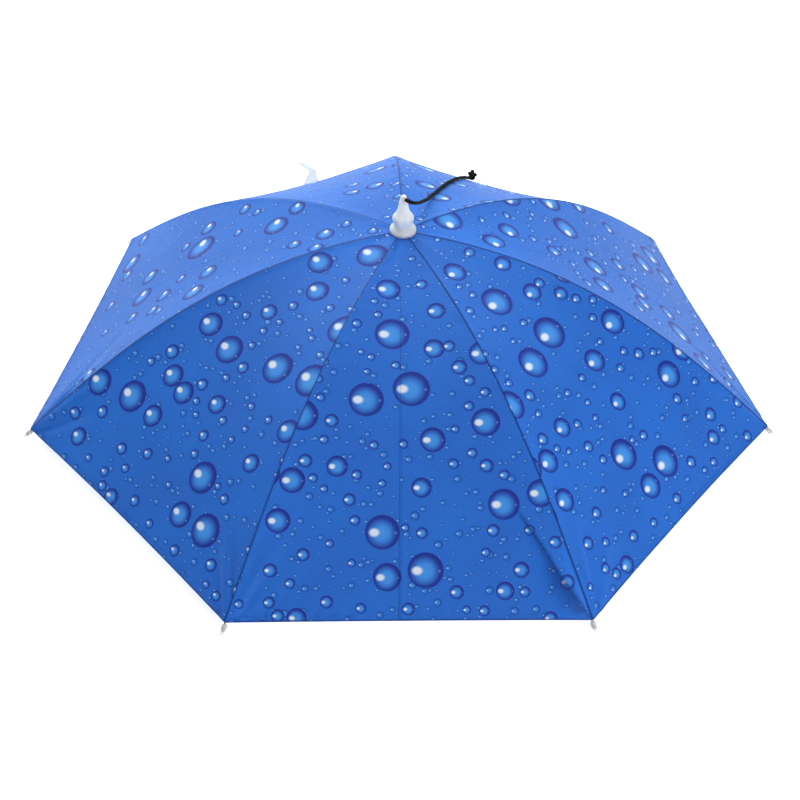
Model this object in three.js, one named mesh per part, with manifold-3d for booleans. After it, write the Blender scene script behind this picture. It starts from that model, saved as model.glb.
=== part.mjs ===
import * as THREE from 'three';
import { mergeVertices } from 'three/addons/utils/BufferGeometryUtils.js';
import Module from 'manifold-3d';

// An umbrella hat, opened, in millimetres, +Z up, its front towards -Y.
// It stands on the noses of its rib tips. The origin is the middle of that footprint.
// Heights inside the hat are counted from the crown, where the cloth meets the hub's axis.

const wasm = await Module();
wasm.setup();

// Gap between pieces that touch, seat on each other or run on each other
const clearance = 0.3;
const edgeChamfer = 1;

// Canopy: cloth stretched over the ribs
const ribCount = 7;
const canopyRadius = 385;
const hubSlope = 3;
const rimSlope = 41.5;
const bendPower = 1.3;
const clothThickness = 1.2;
const panelSag = 6;
const rimPull = 3;
const seamGap = 0.5;

// Ribs and their tips
const ribWireRadius = 1.4;
const tipRadius = 2.9;
const tipLength = 12;
const tipSocket = 6;
const tipShoulder = 2;
const tipNoseRadius = 2;
const tipFootDepth = 0.6;

// Finial on the crown
const finialHeight = 42;
const finialRadius = 13.3;
const spigotRadius = 5.5;
const cordHoleHeight = 37.6;
const cordHoleTurn = 50;
const cordHoleDepth = 4.5;

// Hub under the cloth, the shaft below it and the runner on the shaft
const hubRadius = 15;
const hubHeight = 10;
const notchDepth = 5;
const shaftRadius = 5;
const shaftLength = 27;
const runnerRadius = 13;
const runnerHeight = 9;
const runnerDrop = 9;

// Stretchers from the runner to clips under the ribs
const stretcherWireRadius = 1.3;
const clipPlace = 0.36;
const clipLength = 10;
const clipWidth = 6;
const clipHeight = 6;

// Head frame: a plate under the shaft and four arms down to the headband
const plateRadius = 16;
const plateHeight = 4;
const armWidth = 9;
const armThickness = 2;
const armOverlap = 16;

// Headband
const bandInnerLength = 196;
const bandInnerWidth = 166;
const bandHeight = 28;
const bandThickness = 2.5;
const bandLift = 34;

// Pull cord and the knot at its end
const cordDiameter = 3.4;
const knotLength = 11;
const knotWidth = 9.6;

// Closing strap on the hem of the panel behind on the left, a share of the hem from the back rib
const strapPanel = 4;
const strapPlace = 0.33;
const strapWidth = 17;
const strapLength = 46;
const strapThickness = 1;

// Cord route, chosen by hand: x, y from the hub's axis and z from the crown.
// It leaves the finial, drops on to the cloth and lies there towards the back on the right.
const cordRoute = [
  [0.9, -0.8, 37.6],
  [5.0, -4.2, 37.6],
  [9.2, -3.6, 35.4],
  [12.2, 3.0, 30.6],
  [14.9, 13.4, 23.6],
  [18.2, 27.0, 14.9],
  [22.6, 44.0, 5.0],
  [27.4, 62.0, -5.0],
  [32.6, 79.0, -12.5],
  [38.2, 95.0, -18.5],
  [44.0, 111.0, -24.5],
  [49.8, 127.0, -31.1],
  [55.6, 143.0, -38.8],
  [61.2, 159.0, -47.1],
  [66.6, 175.0, -56.3],
  [71.8, 190.0, -65.8],
  [77.0, 204.0, -75.3],
  [82.4, 216.0, -84.3],
];

// Finial outline: up is a share of its height, out a share of its radius
const finialOutline = [
  { up: 0.05, out: 1.0 },
  { up: 0.1, out: 0.88 },
  { up: 0.18, out: 0.71 },
  { up: 0.24, out: 0.76 },
  { up: 0.31, out: 0.81 },
  { up: 0.44, out: 0.8 },
  { up: 0.5, out: 0.7 },
  { up: 0.56, out: 0.53 },
  { up: 0.68, out: 0.4 },
  { up: 0.82, out: 0.38 },
  { up: 0.87, out: 0.3 },
  { up: 0.94, out: 0.23 },
  { up: 0.98, out: 0.14 },
];

// Strap, from its foot to its end. Rise, lean and out are shares of its length: up, to the left
// along the hem and away from the hem. Twist is in degrees and width a share of the strap's width.
const strapSections = [
  { rise: 0.0, lean: 0.0, out: 0.0, twist: 0, width: 1.0 },
  { rise: 0.2, lean: -0.01, out: 0.06, twist: 4, width: 1.0 },
  { rise: 0.4, lean: 0.0, out: 0.12, twist: 18, width: 0.9 },
  { rise: 0.58, lean: 0.06, out: 0.16, twist: 38, width: 0.75 },
  { rise: 0.71, lean: 0.17, out: 0.18, twist: 58, width: 0.6 },
  { rise: 0.79, lean: 0.31, out: 0.18, twist: 72, width: 0.45 },
];

const radians = THREE.MathUtils.degToRad;
const panelTurn = (2 * Math.PI) / ribCount;
const flatShare = Math.cos(panelTurn / 2);
const up = new THREE.Vector3(0, 0, 1);

// Slope of a rib, in radians below level, at a share of its arc
function ribSlope(share) {
  const bend = Math.sin((share * Math.PI) / 2) ** bendPower;
  return radians(hubSlope + (rimSlope - hubSlope) * bend);
}

// The seam curve over a rib, as rows of radius and drop at equal steps of arc
const arcSteps = 400;
const seamRows = [{ radius: 0, drop: 0 }];
for (let step = 0; step < arcSteps; step += 1) {
  const slope = ribSlope((step + 0.5) / arcSteps);
  const last = seamRows[step];
  seamRows.push({ radius: last.radius + Math.cos(slope), drop: last.drop + Math.sin(slope) });
}
const stepLength = canopyRadius / seamRows[arcSteps].radius;

// Radius and drop of the seam at a share of its arc
function seamAt(share) {
  const place = THREE.MathUtils.clamp(share, 0, 1) * arcSteps;
  const row = Math.min(Math.floor(place), arcSteps - 1);
  const radius = THREE.MathUtils.lerp(seamRows[row].radius, seamRows[row + 1].radius, place - row);
  const drop = THREE.MathUtils.lerp(seamRows[row].drop, seamRows[row + 1].drop, place - row);
  return { radius: radius * stepLength, drop: drop * stepLength };
}

// Share of the arc where the seam reaches a radius
function shareAtRadius(radius) {
  const row = seamRows.findIndex((one) => one.radius * stepLength >= radius);
  const before = seamRows[row - 1].radius * stepLength;
  const after = seamRows[row].radius * stepLength;
  return (row - 1 + (radius - before) / (after - before)) / arcSteps;
}

// Turn of a seam about the hub's axis, from the front towards the right.
// Panel 0 lies between seams 0 and 1 and faces the front.
function seamTurn(seam) {
  return (seam - 0.5) * panelTurn;
}

// Level direction at a turn about the hub's axis
function outward(turn) {
  return new THREE.Vector3(Math.sin(turn), -Math.cos(turn), 0);
}

// Direction down the slope at a turn, and the direction square to it that faces up
function downSlope(turn, slope) {
  return outward(turn).multiplyScalar(Math.cos(slope)).addScaledVector(up, -Math.sin(slope));
}

function faceUp(turn, slope) {
  return outward(turn).multiplyScalar(Math.sin(slope)).addScaledVector(up, Math.cos(slope));
}

function seamPoint(seam, share) {
  const { radius, drop } = seamAt(share);
  return outward(seamTurn(seam)).multiplyScalar(radius).addScaledVector(up, -drop);
}

// Point on the outer face of a panel: share runs from hub to rim, across from seam to seam
function clothPoint(panel, share, across) {
  const start = seamPoint(panel, share);
  const end = seamPoint(panel + 1, share);
  const bow = 1 - (2 * across - 1) ** 2;
  const middle = seamTurn(panel + 0.5);
  const slope = Math.atan(Math.tan(ribSlope(share)) / flatShare);
  const sag = panelSag * Math.sin(Math.PI * share) * bow;
  const pull = rimPull * share ** 6 * bow;
  return start
    .lerp(end, across)
    .addScaledVector(faceUp(middle, slope), -sag)
    .addScaledVector(downSlope(middle, slope), -pull);
}

// Upward normal of the cloth, from two short steps on its face
function clothNormal(panel, share, across) {
  const step = 0.002;
  const low = Math.max(share - step, 0);
  const high = Math.min(share + step, 1);
  const along = clothPoint(panel, high, across).sub(clothPoint(panel, low, across));
  const left = Math.max(across - step, 0);
  const right = Math.min(across + step, 1);
  const over = clothPoint(panel, share, right).sub(clothPoint(panel, share, left));
  return along.cross(over).normalize();
}

// Point on the inner face of a panel, straight below a point of its outer face
function clothUnderside(panel, share, across) {
  const depth = clothThickness / clothNormal(panel, share, across).z;
  return clothPoint(panel, share, across).addScaledVector(up, -depth);
}

// Closed body between an upper and a lower grid of points with rows and columns alike
function sheetGeometry(upper, lower) {
  const rows = upper.length;
  const columns = upper[0].length;
  const positions = [];
  for (const grid of [upper, lower]) {
    for (const row of grid) {
      for (const point of row) {
        positions.push(point.x, point.y, point.z);
      }
    }
  }
  const count = rows * columns;
  const at = (row, column) => row * columns + column;
  const indices = [];
  const quad = (a, b, c, d) => indices.push(a, b, c, a, c, d);
  for (let row = 0; row < rows - 1; row += 1) {
    for (let column = 0; column < columns - 1; column += 1) {
      const near = [at(row, column), at(row + 1, column)];
      const far = [at(row + 1, column + 1), at(row, column + 1)];
      const corners = [...near, ...far];
      quad(...corners);
      quad(...corners.map((corner) => corner + count).reverse());
    }
  }
  for (let row = 0; row < rows - 1; row += 1) {
    const first = at(row, 0);
    const firstNext = at(row + 1, 0);
    const last = at(row, columns - 1);
    const lastNext = at(row + 1, columns - 1);
    quad(first, first + count, firstNext + count, firstNext);
    quad(last, lastNext, lastNext + count, last + count);
  }
  for (let column = 0; column < columns - 1; column += 1) {
    const first = at(0, column);
    const last = at(rows - 1, column);
    quad(first, first + 1, first + 1 + count, first + count);
    quad(last, last + count, last + 1 + count, last + 1);
  }
  const geometry = new THREE.BufferGeometry();
  geometry.setAttribute('position', new THREE.Float32BufferAttribute(positions, 3));
  geometry.setIndex(indices);
  return geometry;
}

// Geometry with only merged positions, as a solid for joining and cutting
function toSolid(geometry) {
  const bare = geometry.clone();
  bare.deleteAttribute('normal');
  bare.deleteAttribute('uv');
  const merged = mergeVertices(bare, 1e-4);
  return new wasm.Manifold(new wasm.Mesh({
    numProp: 3,
    vertProperties: new Float32Array(merged.attributes.position.array),
    triVerts: new Uint32Array(merged.index.array),
  }));
}

function toGeometry(solid) {
  const mesh = solid.getMesh();
  const geometry = new THREE.BufferGeometry();
  geometry.setAttribute('position', new THREE.Float32BufferAttribute(mesh.vertProperties, 3));
  geometry.setIndex(Array.from(mesh.triVerts));
  return geometry;
}

function cut(geometry, tools) {
  let solid = toSolid(geometry);
  for (const tool of tools) {
    solid = solid.subtract(toSolid(tool));
  }
  return toGeometry(solid);
}

// Body turned about Z from an outline of [radius, height] pairs, listed upwards on the outside
function turned(outline, sides) {
  const points = outline.map(([radius, height]) => new THREE.Vector2(radius, height));
  return new THREE.LatheGeometry(points, sides).rotateX(Math.PI / 2);
}

// Round wire along points
function wire(points, radius, sides, steps) {
  const circle = new THREE.Shape().absarc(0, 0, radius, 0, 2 * Math.PI, false);
  return new THREE.ExtrudeGeometry(circle, {
    extrudePath: new THREE.CatmullRomCurve3(points, false, 'centripetal'),
    steps,
    curveSegments: sides / 2,
    bevelEnabled: false,
  });
}

// Materials
function finish(color, roughness, metalness = 0) {
  return new THREE.MeshStandardMaterial({ color, roughness, metalness });
}
const clothFinish = finish('#3d72c8', 0.55);
const whitePlastic = finish('#d9e1ea', 0.35);
const blackPlastic = finish('#1c1d20', 0.45);
const steelWire = finish('#b4b8bd', 0.3, 0.9);
const elasticFinish = finish('#23252a', 0.85);
const cordFinish = finish('#151515', 0.8);
const strapFinish = finish('#c9d6e4', 0.6);

const hat = new THREE.Group();
function add(name, geometry, material) {
  const mesh = new THREE.Mesh(geometry, material);
  mesh.name = name;
  hat.add(mesh);
  return mesh;
}

// Cloth panels, each from the hole round the spigot to the rim
const panelRows = 14;
const panelColumns = 6;
const holeRadius = (spigotRadius + clearance) / flatShare;
const holeShare = shareAtRadius(holeRadius);

function panelGeometry(panel) {
  const upper = [];
  const lower = [];
  for (let row = 0; row <= panelRows; row += 1) {
    const share = THREE.MathUtils.lerp(holeShare, 1, row / panelRows);
    const chord = 2 * seamAt(share).radius * Math.sin(panelTurn / 2);
    const edge = seamGap / 2 / chord;
    const places = [];
    for (let column = 0; column <= panelColumns; column += 1) {
      places.push(THREE.MathUtils.lerp(edge, 1 - edge, column / panelColumns));
    }
    upper.push(places.map((across) => clothPoint(panel, share, across)));
    lower.push(places.map((across) => clothUnderside(panel, share, across)));
  }
  return sheetGeometry(upper, lower);
}

// Centre of a rib's wire: under the seam, clear of the two panels that slope away from it
function ribCentre(seam, share) {
  const turn = seamTurn(seam);
  const square = faceUp(turn, ribSlope(share));
  const lean = Math.max(clothNormal(seam, share, 0).dot(square), 0.5);
  const depth = clothThickness + (ribWireRadius + clearance) / lean;
  return seamPoint(seam, share).addScaledVector(square, -depth);
}

const ribStart = shareAtRadius(hubRadius - notchDepth + clearance);
const ribRows = 12;
const ribPlaces = [];
for (let row = 0; row <= ribRows; row += 1) {
  ribPlaces.push(THREE.MathUtils.lerp(ribStart, 1, row / ribRows));
}

// The tip starts clear of the cloth's corner, and the rib ends inside its socket
const endSlope = ribSlope(1);
const tipStart = clothThickness * Math.tan(endSlope) + clearance;

function ribGeometry(seam) {
  const points = ribPlaces.map((share) => ribCentre(seam, share));
  const reach = tipStart + tipSocket - clearance;
  points.push(ribCentre(seam, 1).addScaledVector(downSlope(seamTurn(seam), endSlope), reach));
  return wire(points, ribWireRadius, 8, ribRows + 2);
}

// Tip: a tapered sleeve with a round nose, its outline listed from the socket round to the nose
function tipOutline() {
  const bore = ribWireRadius + clearance;
  const noseCentre = tipLength - tipNoseRadius;
  const outline = [[0, tipSocket], [bore, tipSocket], [bore, 0], [tipRadius, 0], [tipRadius, tipShoulder]];
  const noseStep = 22.5;
  for (let degrees = 0; degrees < 90; degrees += noseStep) {
    const angle = radians(degrees);
    outline.push([tipNoseRadius * Math.cos(angle), noseCentre + tipNoseRadius * Math.sin(angle)]);
  }
  outline.push([0, tipLength]);
  return outline;
}

const noseTravel = tipStart + tipLength - tipNoseRadius;
const noseCentre = ribCentre(0, 1).addScaledVector(downSlope(seamTurn(0), endSlope), noseTravel);
const floorHeight = noseCentre.z - tipNoseRadius + tipFootDepth;

function tipGeometry(seam) {
  const along = downSlope(seamTurn(seam), endSlope);
  const start = ribCentre(seam, 1).addScaledVector(along, tipStart);
  const sleeve = turned(tipOutline(), 12);
  sleeve.applyQuaternion(new THREE.Quaternion().setFromUnitVectors(up, along));
  sleeve.translate(start.x, start.y, start.z);
  const size = 4 * tipLength;
  const floor = new THREE.BoxGeometry(size, size, size);
  floor.translate(start.x, start.y, floorHeight - size / 2);
  return cut(sleeve, [floor]);
}

// Finial: a flange on the cloth, a bulb, a stem with the cord's hole near its top,
// and a spigot down through the cloth
const cordBore = cordDiameter / 2 + clearance;

function finialGeometry() {
  const spigotShare = shareAtRadius(spigotRadius);
  const flangeShare = shareAtRadius(finialRadius);
  const outline = [
    [0, hubTop + clearance],
    [spigotRadius, hubTop + clearance],
    [spigotRadius, clearance - seamAt(spigotShare).drop],
    [finialRadius, clearance - seamAt(flangeShare).drop],
  ];
  for (const row of finialOutline) {
    outline.push([finialRadius * row.out, finialHeight * row.up]);
  }
  outline.push([0, finialHeight]);
  const hole = new THREE.CylinderGeometry(cordBore, cordBore, cordHoleDepth * 2, 12);
  hole.translate(0, cordHoleDepth, 0);
  hole.applyQuaternion(new THREE.Quaternion().setFromUnitVectors(
    new THREE.Vector3(0, 1, 0),
    outward(radians(cordHoleTurn)),
  ));
  hole.translate(0, 0, cordHoleHeight);
  return cut(turned(outline, 28), [hole]);
}

// Hub and runner: thick discs with a notch for each rib or stretcher
function notchTools(radius, depth, width, low, high) {
  const tools = [];
  for (let seam = 0; seam < ribCount; seam += 1) {
    const tool = new THREE.BoxGeometry(width, 2 * depth, 2 * (high - low));
    tool.translate(0, -radius, (low + high) / 2);
    tool.rotateZ(seamTurn(seam));
    tools.push(tool);
  }
  return tools;
}

// The cloth is lowest over the hub's edge in the middle of a panel
const hubTop = clothUnderside(0, shareAtRadius(hubRadius / flatShare), 0.5).z - clearance;
const hubBottom = hubTop - hubHeight;

function hubGeometry() {
  const disc = turned([
    [0, hubBottom],
    [hubRadius - edgeChamfer, hubBottom],
    [hubRadius, hubBottom + edgeChamfer],
    [hubRadius, hubTop],
    [0, hubTop],
  ], 28);
  const width = 2 * (ribWireRadius + clearance);
  return cut(disc, notchTools(hubRadius, notchDepth, width, hubBottom, hubTop));
}

const shaftTop = hubBottom - clearance;
const shaftBottom = shaftTop - shaftLength;
const runnerTop = shaftTop - runnerDrop;
const runnerBottom = runnerTop - runnerHeight;

function shaftGeometry() {
  return turned([
    [0, shaftBottom],
    [shaftRadius, shaftBottom],
    [shaftRadius, shaftTop],
    [0, shaftTop],
  ], 20);
}

function runnerGeometry() {
  const bore = shaftRadius + clearance;
  const ring = turned([
    [bore, runnerBottom],
    [runnerRadius, runnerBottom],
    [runnerRadius, runnerTop],
    [bore, runnerTop],
    [bore, runnerBottom],
  ], 28);
  const width = 2 * (stretcherWireRadius + clearance);
  return cut(ring, notchTools(runnerRadius, notchDepth, width, runnerBottom, runnerTop));
}

// Clip: a small block under a rib, square to it, that holds the stretcher's outer end
const clipSlope = ribSlope(clipPlace);
function clipCentre(seam) {
  const depth = ribWireRadius + clearance + clipHeight / 2;
  return ribCentre(seam, clipPlace).addScaledVector(faceUp(seamTurn(seam), clipSlope), -depth);
}

function clipGeometry(seam) {
  const centre = clipCentre(seam);
  const block = new THREE.BoxGeometry(clipWidth, clipLength, clipHeight);
  block.rotateX(clipSlope);
  block.rotateZ(seamTurn(seam));
  block.translate(centre.x, centre.y, centre.z);
  return block;
}

// Stretcher: a straight wire from the runner's notch to the inner end of the clip
function stretcherGeometry(seam) {
  const turn = seamTurn(seam);
  const inner = outward(turn).multiplyScalar(runnerRadius - notchDepth + stretcherWireRadius + clearance);
  inner.z = (runnerTop + runnerBottom) / 2;
  const outer = clipCentre(seam).addScaledVector(downSlope(turn, clipSlope), -clipLength / 2);
  const along = outer.clone().sub(inner).normalize();
  const lean = along.dot(downSlope(turn, clipSlope));
  const back = (clearance + stretcherWireRadius * Math.sqrt(1 - lean * lean)) / lean;
  outer.addScaledVector(along, -back);
  return wire([inner, inner.clone().lerp(outer, 0.5), outer], stretcherWireRadius, 8, 2);
}

// Plate under the shaft
const plateTop = shaftBottom - clearance;
const plateBottom = plateTop - plateHeight;

function plateGeometry() {
  return turned([
    [0, plateBottom],
    [plateRadius - edgeChamfer, plateBottom],
    [plateRadius, plateBottom + edgeChamfer],
    [plateRadius, plateTop],
    [0, plateTop],
  ], 28);
}

// Headband: an oval loop of flat elastic
const bandBottom = floorHeight + bandLift;
const bandTop = bandBottom + bandHeight;

function bandGeometry() {
  const across = bandInnerWidth / 2;
  const along = bandInnerLength / 2;
  const outer = [across + bandThickness, along + bandThickness];
  const outline = new THREE.Shape().absellipse(0, 0, ...outer, 0, 2 * Math.PI, false, 0);
  outline.holes.push(new THREE.Path().absellipse(0, 0, across, along, 0, 2 * Math.PI, true, 0));
  const loop = new THREE.ExtrudeGeometry(outline, {
    depth: bandHeight,
    curveSegments: 28,
    bevelEnabled: false,
  });
  return loop.translate(0, 0, bandBottom);
}

// Arm: a flat strip from the plate's edge over the head, down to the outer face of the headband
function armGeometry(quarter) {
  const sideways = quarter % 2 === 1;
  const bandHalf = (sideways ? bandInnerWidth : bandInnerLength) / 2 + bandThickness;
  const inside = bandHalf + clearance;
  const start = plateRadius + clearance;
  const low = bandTop - armOverlap;
  const top = plateTop - (plateHeight - armThickness) / 2;
  const reach = inside + armThickness - start;
  const rise = top - bandTop;
  const profile = new THREE.Shape();
  profile.moveTo(start, top - armThickness);
  profile.absellipse(start, bandTop, reach - armThickness, rise - armThickness, Math.PI / 2, 0, true, 0);
  profile.lineTo(inside, low);
  profile.lineTo(inside + armThickness, low);
  profile.absellipse(start, bandTop, reach, rise, 0, Math.PI / 2, false, 0);
  const strip = new THREE.ExtrudeGeometry(profile, {
    depth: armWidth,
    curveSegments: 12,
    bevelEnabled: false,
  });
  strip.translate(0, 0, -armWidth / 2);
  strip.rotateX(Math.PI / 2);
  return strip.rotateZ(((quarter - 1) * Math.PI) / 2);
}

// Pull cord and its knot
const cordPoints = cordRoute.map((place) => new THREE.Vector3(...place));

function cordGeometry() {
  return wire(cordPoints, cordDiameter / 2, 8, 40);
}

function knotGeometry() {
  const end = cordPoints[cordPoints.length - 1];
  const along = end.clone().sub(cordPoints[cordPoints.length - 2]).normalize();
  const knot = new THREE.SphereGeometry(0.5, 14, 10);
  knot.scale(knotWidth, knotWidth, knotLength);
  knot.applyQuaternion(new THREE.Quaternion().setFromUnitVectors(up, along));
  const lift = up.clone().addScaledVector(along, -along.z).normalize();
  const centre = end.clone()
    .addScaledVector(along, knotLength / 2 + clearance)
    .addScaledVector(lift, (knotWidth - cordDiameter) / 2);
  return knot.translate(centre.x, centre.y, centre.z);
}

// Strap: a thin ribbon that stands up from the hem and curls to the left
function strapGeometry() {
  const turn = seamTurn(strapPanel + 0.5);
  const away = outward(turn);
  const left = new THREE.Vector3(-away.y, away.x, 0);
  const root = clothPoint(strapPanel, 1, strapPlace);
  root.addScaledVector(away, strapThickness / 2 + clearance);
  const front = [];
  const back = [];
  for (const section of strapSections) {
    const centre = root.clone()
      .addScaledVector(up, strapLength * section.rise)
      .addScaledVector(left, strapLength * section.lean)
      .addScaledVector(away, strapLength * section.out);
    const twist = radians(section.twist);
    const over = left.clone().multiplyScalar(Math.cos(twist)).addScaledVector(away, Math.sin(twist));
    const square = away.clone().multiplyScalar(Math.cos(twist)).addScaledVector(left, -Math.sin(twist));
    const half = (strapWidth * section.width) / 2;
    const row = [-1, 0, 1].map((side) => centre.clone().addScaledVector(over, side * half));
    front.push(row.map((point) => point.clone().addScaledVector(square, -strapThickness / 2)));
    back.push(row.map((point) => point.clone().addScaledVector(square, strapThickness / 2)));
  }
  return sheetGeometry(front, back);
}

// The assembly
add('finial', finialGeometry(), whitePlastic);
add('hub', hubGeometry(), whitePlastic);
add('shaft', shaftGeometry(), whitePlastic);
add('runner', runnerGeometry(), whitePlastic);
add('crown_plate', plateGeometry(), blackPlastic);
add('headband', bandGeometry(), elasticFinish);
for (let quarter = 0; quarter < 4; quarter += 1) {
  add(`head_arm_${quarter + 1}`, armGeometry(quarter), blackPlastic);
}
for (let number = 0; number < ribCount; number += 1) {
  add(`canopy_panel_${number + 1}`, panelGeometry(number), clothFinish);
  add(`rib_${number + 1}`, ribGeometry(number), steelWire);
  add(`rib_tip_${number + 1}`, tipGeometry(number), whitePlastic);
  add(`stretcher_${number + 1}`, stretcherGeometry(number), steelWire);
  add(`rib_clip_${number + 1}`, clipGeometry(number), whitePlastic);
}
const footprint = new THREE.Box3().setFromObject(hat, true).getCenter(new THREE.Vector3());
add('pull_cord', cordGeometry(), cordFinish);
add('cord_knot', knotGeometry(), cordFinish);
add('tie_strap', strapGeometry(), strapFinish);
hat.position.set(-footprint.x, -footprint.y, -floorHeight);

const umbrellaHat = new THREE.Group();
umbrellaHat.add(hat);

export default umbrellaHat;
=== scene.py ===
"""An open umbrella hat with a raindrop print, dressed around its packed construction.

Lengths are in metres. Heights inside the hat are counted from the crown, where the cloth meets
the hub's axis. Panel 1 faces the front, and the numbers go round towards the right.
"""

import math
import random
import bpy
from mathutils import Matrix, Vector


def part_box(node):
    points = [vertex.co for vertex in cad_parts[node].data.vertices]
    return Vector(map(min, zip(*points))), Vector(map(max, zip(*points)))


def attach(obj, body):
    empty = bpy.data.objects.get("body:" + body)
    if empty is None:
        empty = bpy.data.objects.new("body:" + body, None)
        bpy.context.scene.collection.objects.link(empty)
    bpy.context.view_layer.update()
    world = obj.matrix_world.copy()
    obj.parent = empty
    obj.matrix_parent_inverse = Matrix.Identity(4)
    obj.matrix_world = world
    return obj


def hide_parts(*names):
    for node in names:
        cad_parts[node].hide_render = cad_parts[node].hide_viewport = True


bl_info = {
    "name": "Umbrella Hat",
    "version": (1, 0, 0),
    "blender": (4, 5, 0),
    "location": "3D View > Sidebar > Umbrella Hat",
    "description": "Builds an open umbrella hat with a raindrop print",
    "category": "Add Mesh",
}

import bpy
import numpy as np
from bpy.props import FloatProperty, FloatVectorProperty, IntProperty, PointerProperty
from mathutils import Matrix, Vector, noise

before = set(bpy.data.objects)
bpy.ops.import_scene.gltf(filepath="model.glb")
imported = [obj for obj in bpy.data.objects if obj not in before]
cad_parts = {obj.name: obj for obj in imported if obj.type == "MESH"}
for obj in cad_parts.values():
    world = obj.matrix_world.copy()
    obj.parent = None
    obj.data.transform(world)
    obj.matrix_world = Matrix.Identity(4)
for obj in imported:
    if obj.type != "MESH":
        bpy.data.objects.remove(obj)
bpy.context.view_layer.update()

MM = 0.001
RIBS = 7
PANEL_TURN = 2 * math.pi / RIBS
FLAT_SHARE = math.cos(PANEL_TURN / 2)
UP = np.array([0.0, 0.0, 1.0])
CLEARANCE = 0.3 * MM
FINIAL_HEIGHT = 42 * MM
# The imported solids' own cloth: its thickness, its sag and how far its rim is drawn in
SOLID_CLOTH = 1.2 * MM
SOLID_SAG = 6 * MM
SOLID_PULL = 3 * MM
# How deep the notches of hub and runner are
NOTCH_DEPTH = 5 * MM


def finial_foot():
    """The crown: the point on the hub's axis where the cloth would meet it."""
    low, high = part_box("finial")
    return np.array([(low.x + high.x) / 2, (low.y + high.y) / 2, high.z - FINIAL_HEIGHT])


CROWN = finial_foot()


def box_size(node):
    low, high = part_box(node)
    return high - low


def paint(code):
    """A colour written as on a swatch card, as the linear values that shaders take."""
    levels = [int(code[place : place + 2], 16) / 255 for place in (1, 3, 5)]
    linear = [x / 12.92 if x <= 0.04045 else ((x + 0.055) / 1.055) ** 2.4 for x in levels]
    return (*linear, 1.0)


def length_prop(name, description, default, low=0.0):
    return FloatProperty(
        name=name, description=description, default=default, min=low, unit="LENGTH", precision=4
    )


def angle_prop(name, description, degrees):
    return FloatProperty(
        name=name, description=description, default=math.radians(degrees), unit="ROTATION"
    )


def colour_prop(name, description, code):
    return FloatVectorProperty(
        name=name, description=description, default=paint(code)[:3], size=3, subtype="COLOR"
    )


class HatCanopy(bpy.types.PropertyGroup):
    """Sizes and colours of the cloth."""

    radius: length_prop("Radius", "From the hub's axis to a corner of the cloth", 0.385)
    hub_slope: angle_prop("Slope at hub", "Slope of a rib at the hub", 3.0)
    rim_slope: angle_prop("Slope at rim", "Slope of a rib at its outer end", 41.5)
    bend_power: FloatProperty(
        name="Bend", description="How late along a rib its slope sets in", default=1.3
    )
    thickness: length_prop("Cloth", "Thickness of the coated cloth", 0.35 * MM)
    sag: length_prop("Sag", "How far a panel sinks in its middle", 6 * MM)
    hem: length_prop("Hem", "Width of the hem that is turned under", 7 * MM)
    allowance: length_prop("Seam allowance", "Width of cloth inside a seam", 5 * MM)
    ground: colour_prop("Ground", "Ground colour of the print", "#2670d7")
    glow: colour_prop("Drop middle", "Colour in the middle of a printed drop", "#4b9df0")
    rim: colour_prop("Drop rim", "Colour of a printed drop's rim", "#1b2490")
    spot: colour_prop("Drop spot", "Colour of the light spot on a printed drop", "#e8f0fc")
    coating: colour_prop("Coating", "Colour of the coated inner face", "#c3cfdb")


class HatHardware(bpy.types.PropertyGroup):
    """Sizes and colours of ribs, plastic pieces and headband."""

    wire: length_prop("Rib wire", "Radius of a rib's wire", 1.4 * MM)
    stretcher_wire: length_prop("Stretcher wire", "Radius of a stretcher's wire", 1.3 * MM)
    tip_radius: length_prop("Tip radius", "Radius of a rib tip where it meets the cloth", 2.9 * MM)
    tip_length: length_prop("Tip length", "Length of a rib tip", 12 * MM)
    finial_radius: length_prop("Finial radius", "Radius of the finial's flange", 13.3 * MM)
    band_ribs: IntProperty(
        name="Band ribs", description="Woven ribs round the elastic headband", default=330, min=24
    )
    white: colour_prop("White plastic", "Colour of finial, hub, runner and tips", "#f0f3fb")
    black: colour_prop("Black plastic", "Colour of crown plate and arms", "#1b1c1f")
    steel: colour_prop("Steel", "Colour of the plated wires", "#b9bdc2")
    elastic: colour_prop("Elastic", "Colour of the headband", "#26282d")


class HatTrim(bpy.types.PropertyGroup):
    """Sizes and colours of cord and closing strap."""

    cord: length_prop("Cord", "Diameter of the pull cord", 3.4 * MM)
    strap_width: length_prop("Strap width", "Width of the closing strap", 17 * MM)
    strap_length: length_prop("Strap length", "Length of the closing strap's end", 46 * MM)
    cord_colour: colour_prop("Cord colour", "Colour of the pull cord", "#060607")
    strap_colour: colour_prop("Strap colour", "Colour of the strap's coated side", "#cfd6d2")


class HatView(bpy.types.PropertyGroup):
    """The camera's place, from the crown, and the stage."""

    elevation: angle_prop("Elevation", "How far the camera looks down", 41.2631)
    azimuth: angle_prop("Azimuth", "Turn of the camera to the left of the front", -2.5295)
    roll: angle_prop("Roll", "Lean of the picture", 1.4885)
    distance: length_prop("Distance", "From the camera's plane to the crown", 1.7239)
    aside: length_prop("Aside", "Camera to the right of the crown's ray", -0.00285, -1.0)
    above: length_prop("Above", "Camera above the crown's ray", -0.16677, -1.0)
    lens: FloatProperty(name="Lens", description="Focal length", default=78.857, unit="CAMERA")
    floor: colour_prop("Floor", "Colour of the floor", "#f4f5f7")


def level_out(turn):
    """Level direction at a turn about the hub's axis, from the front towards the right."""
    return np.array([math.sin(turn), -math.cos(turn), 0.0])


def seam_turn(seam):
    return (seam - 0.5) * PANEL_TURN


def down_slope(turn, slope):
    return level_out(turn) * math.cos(slope) - UP * math.sin(slope)


def face_up(turn, slope):
    return level_out(turn) * math.sin(slope) + UP * math.cos(slope)


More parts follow.
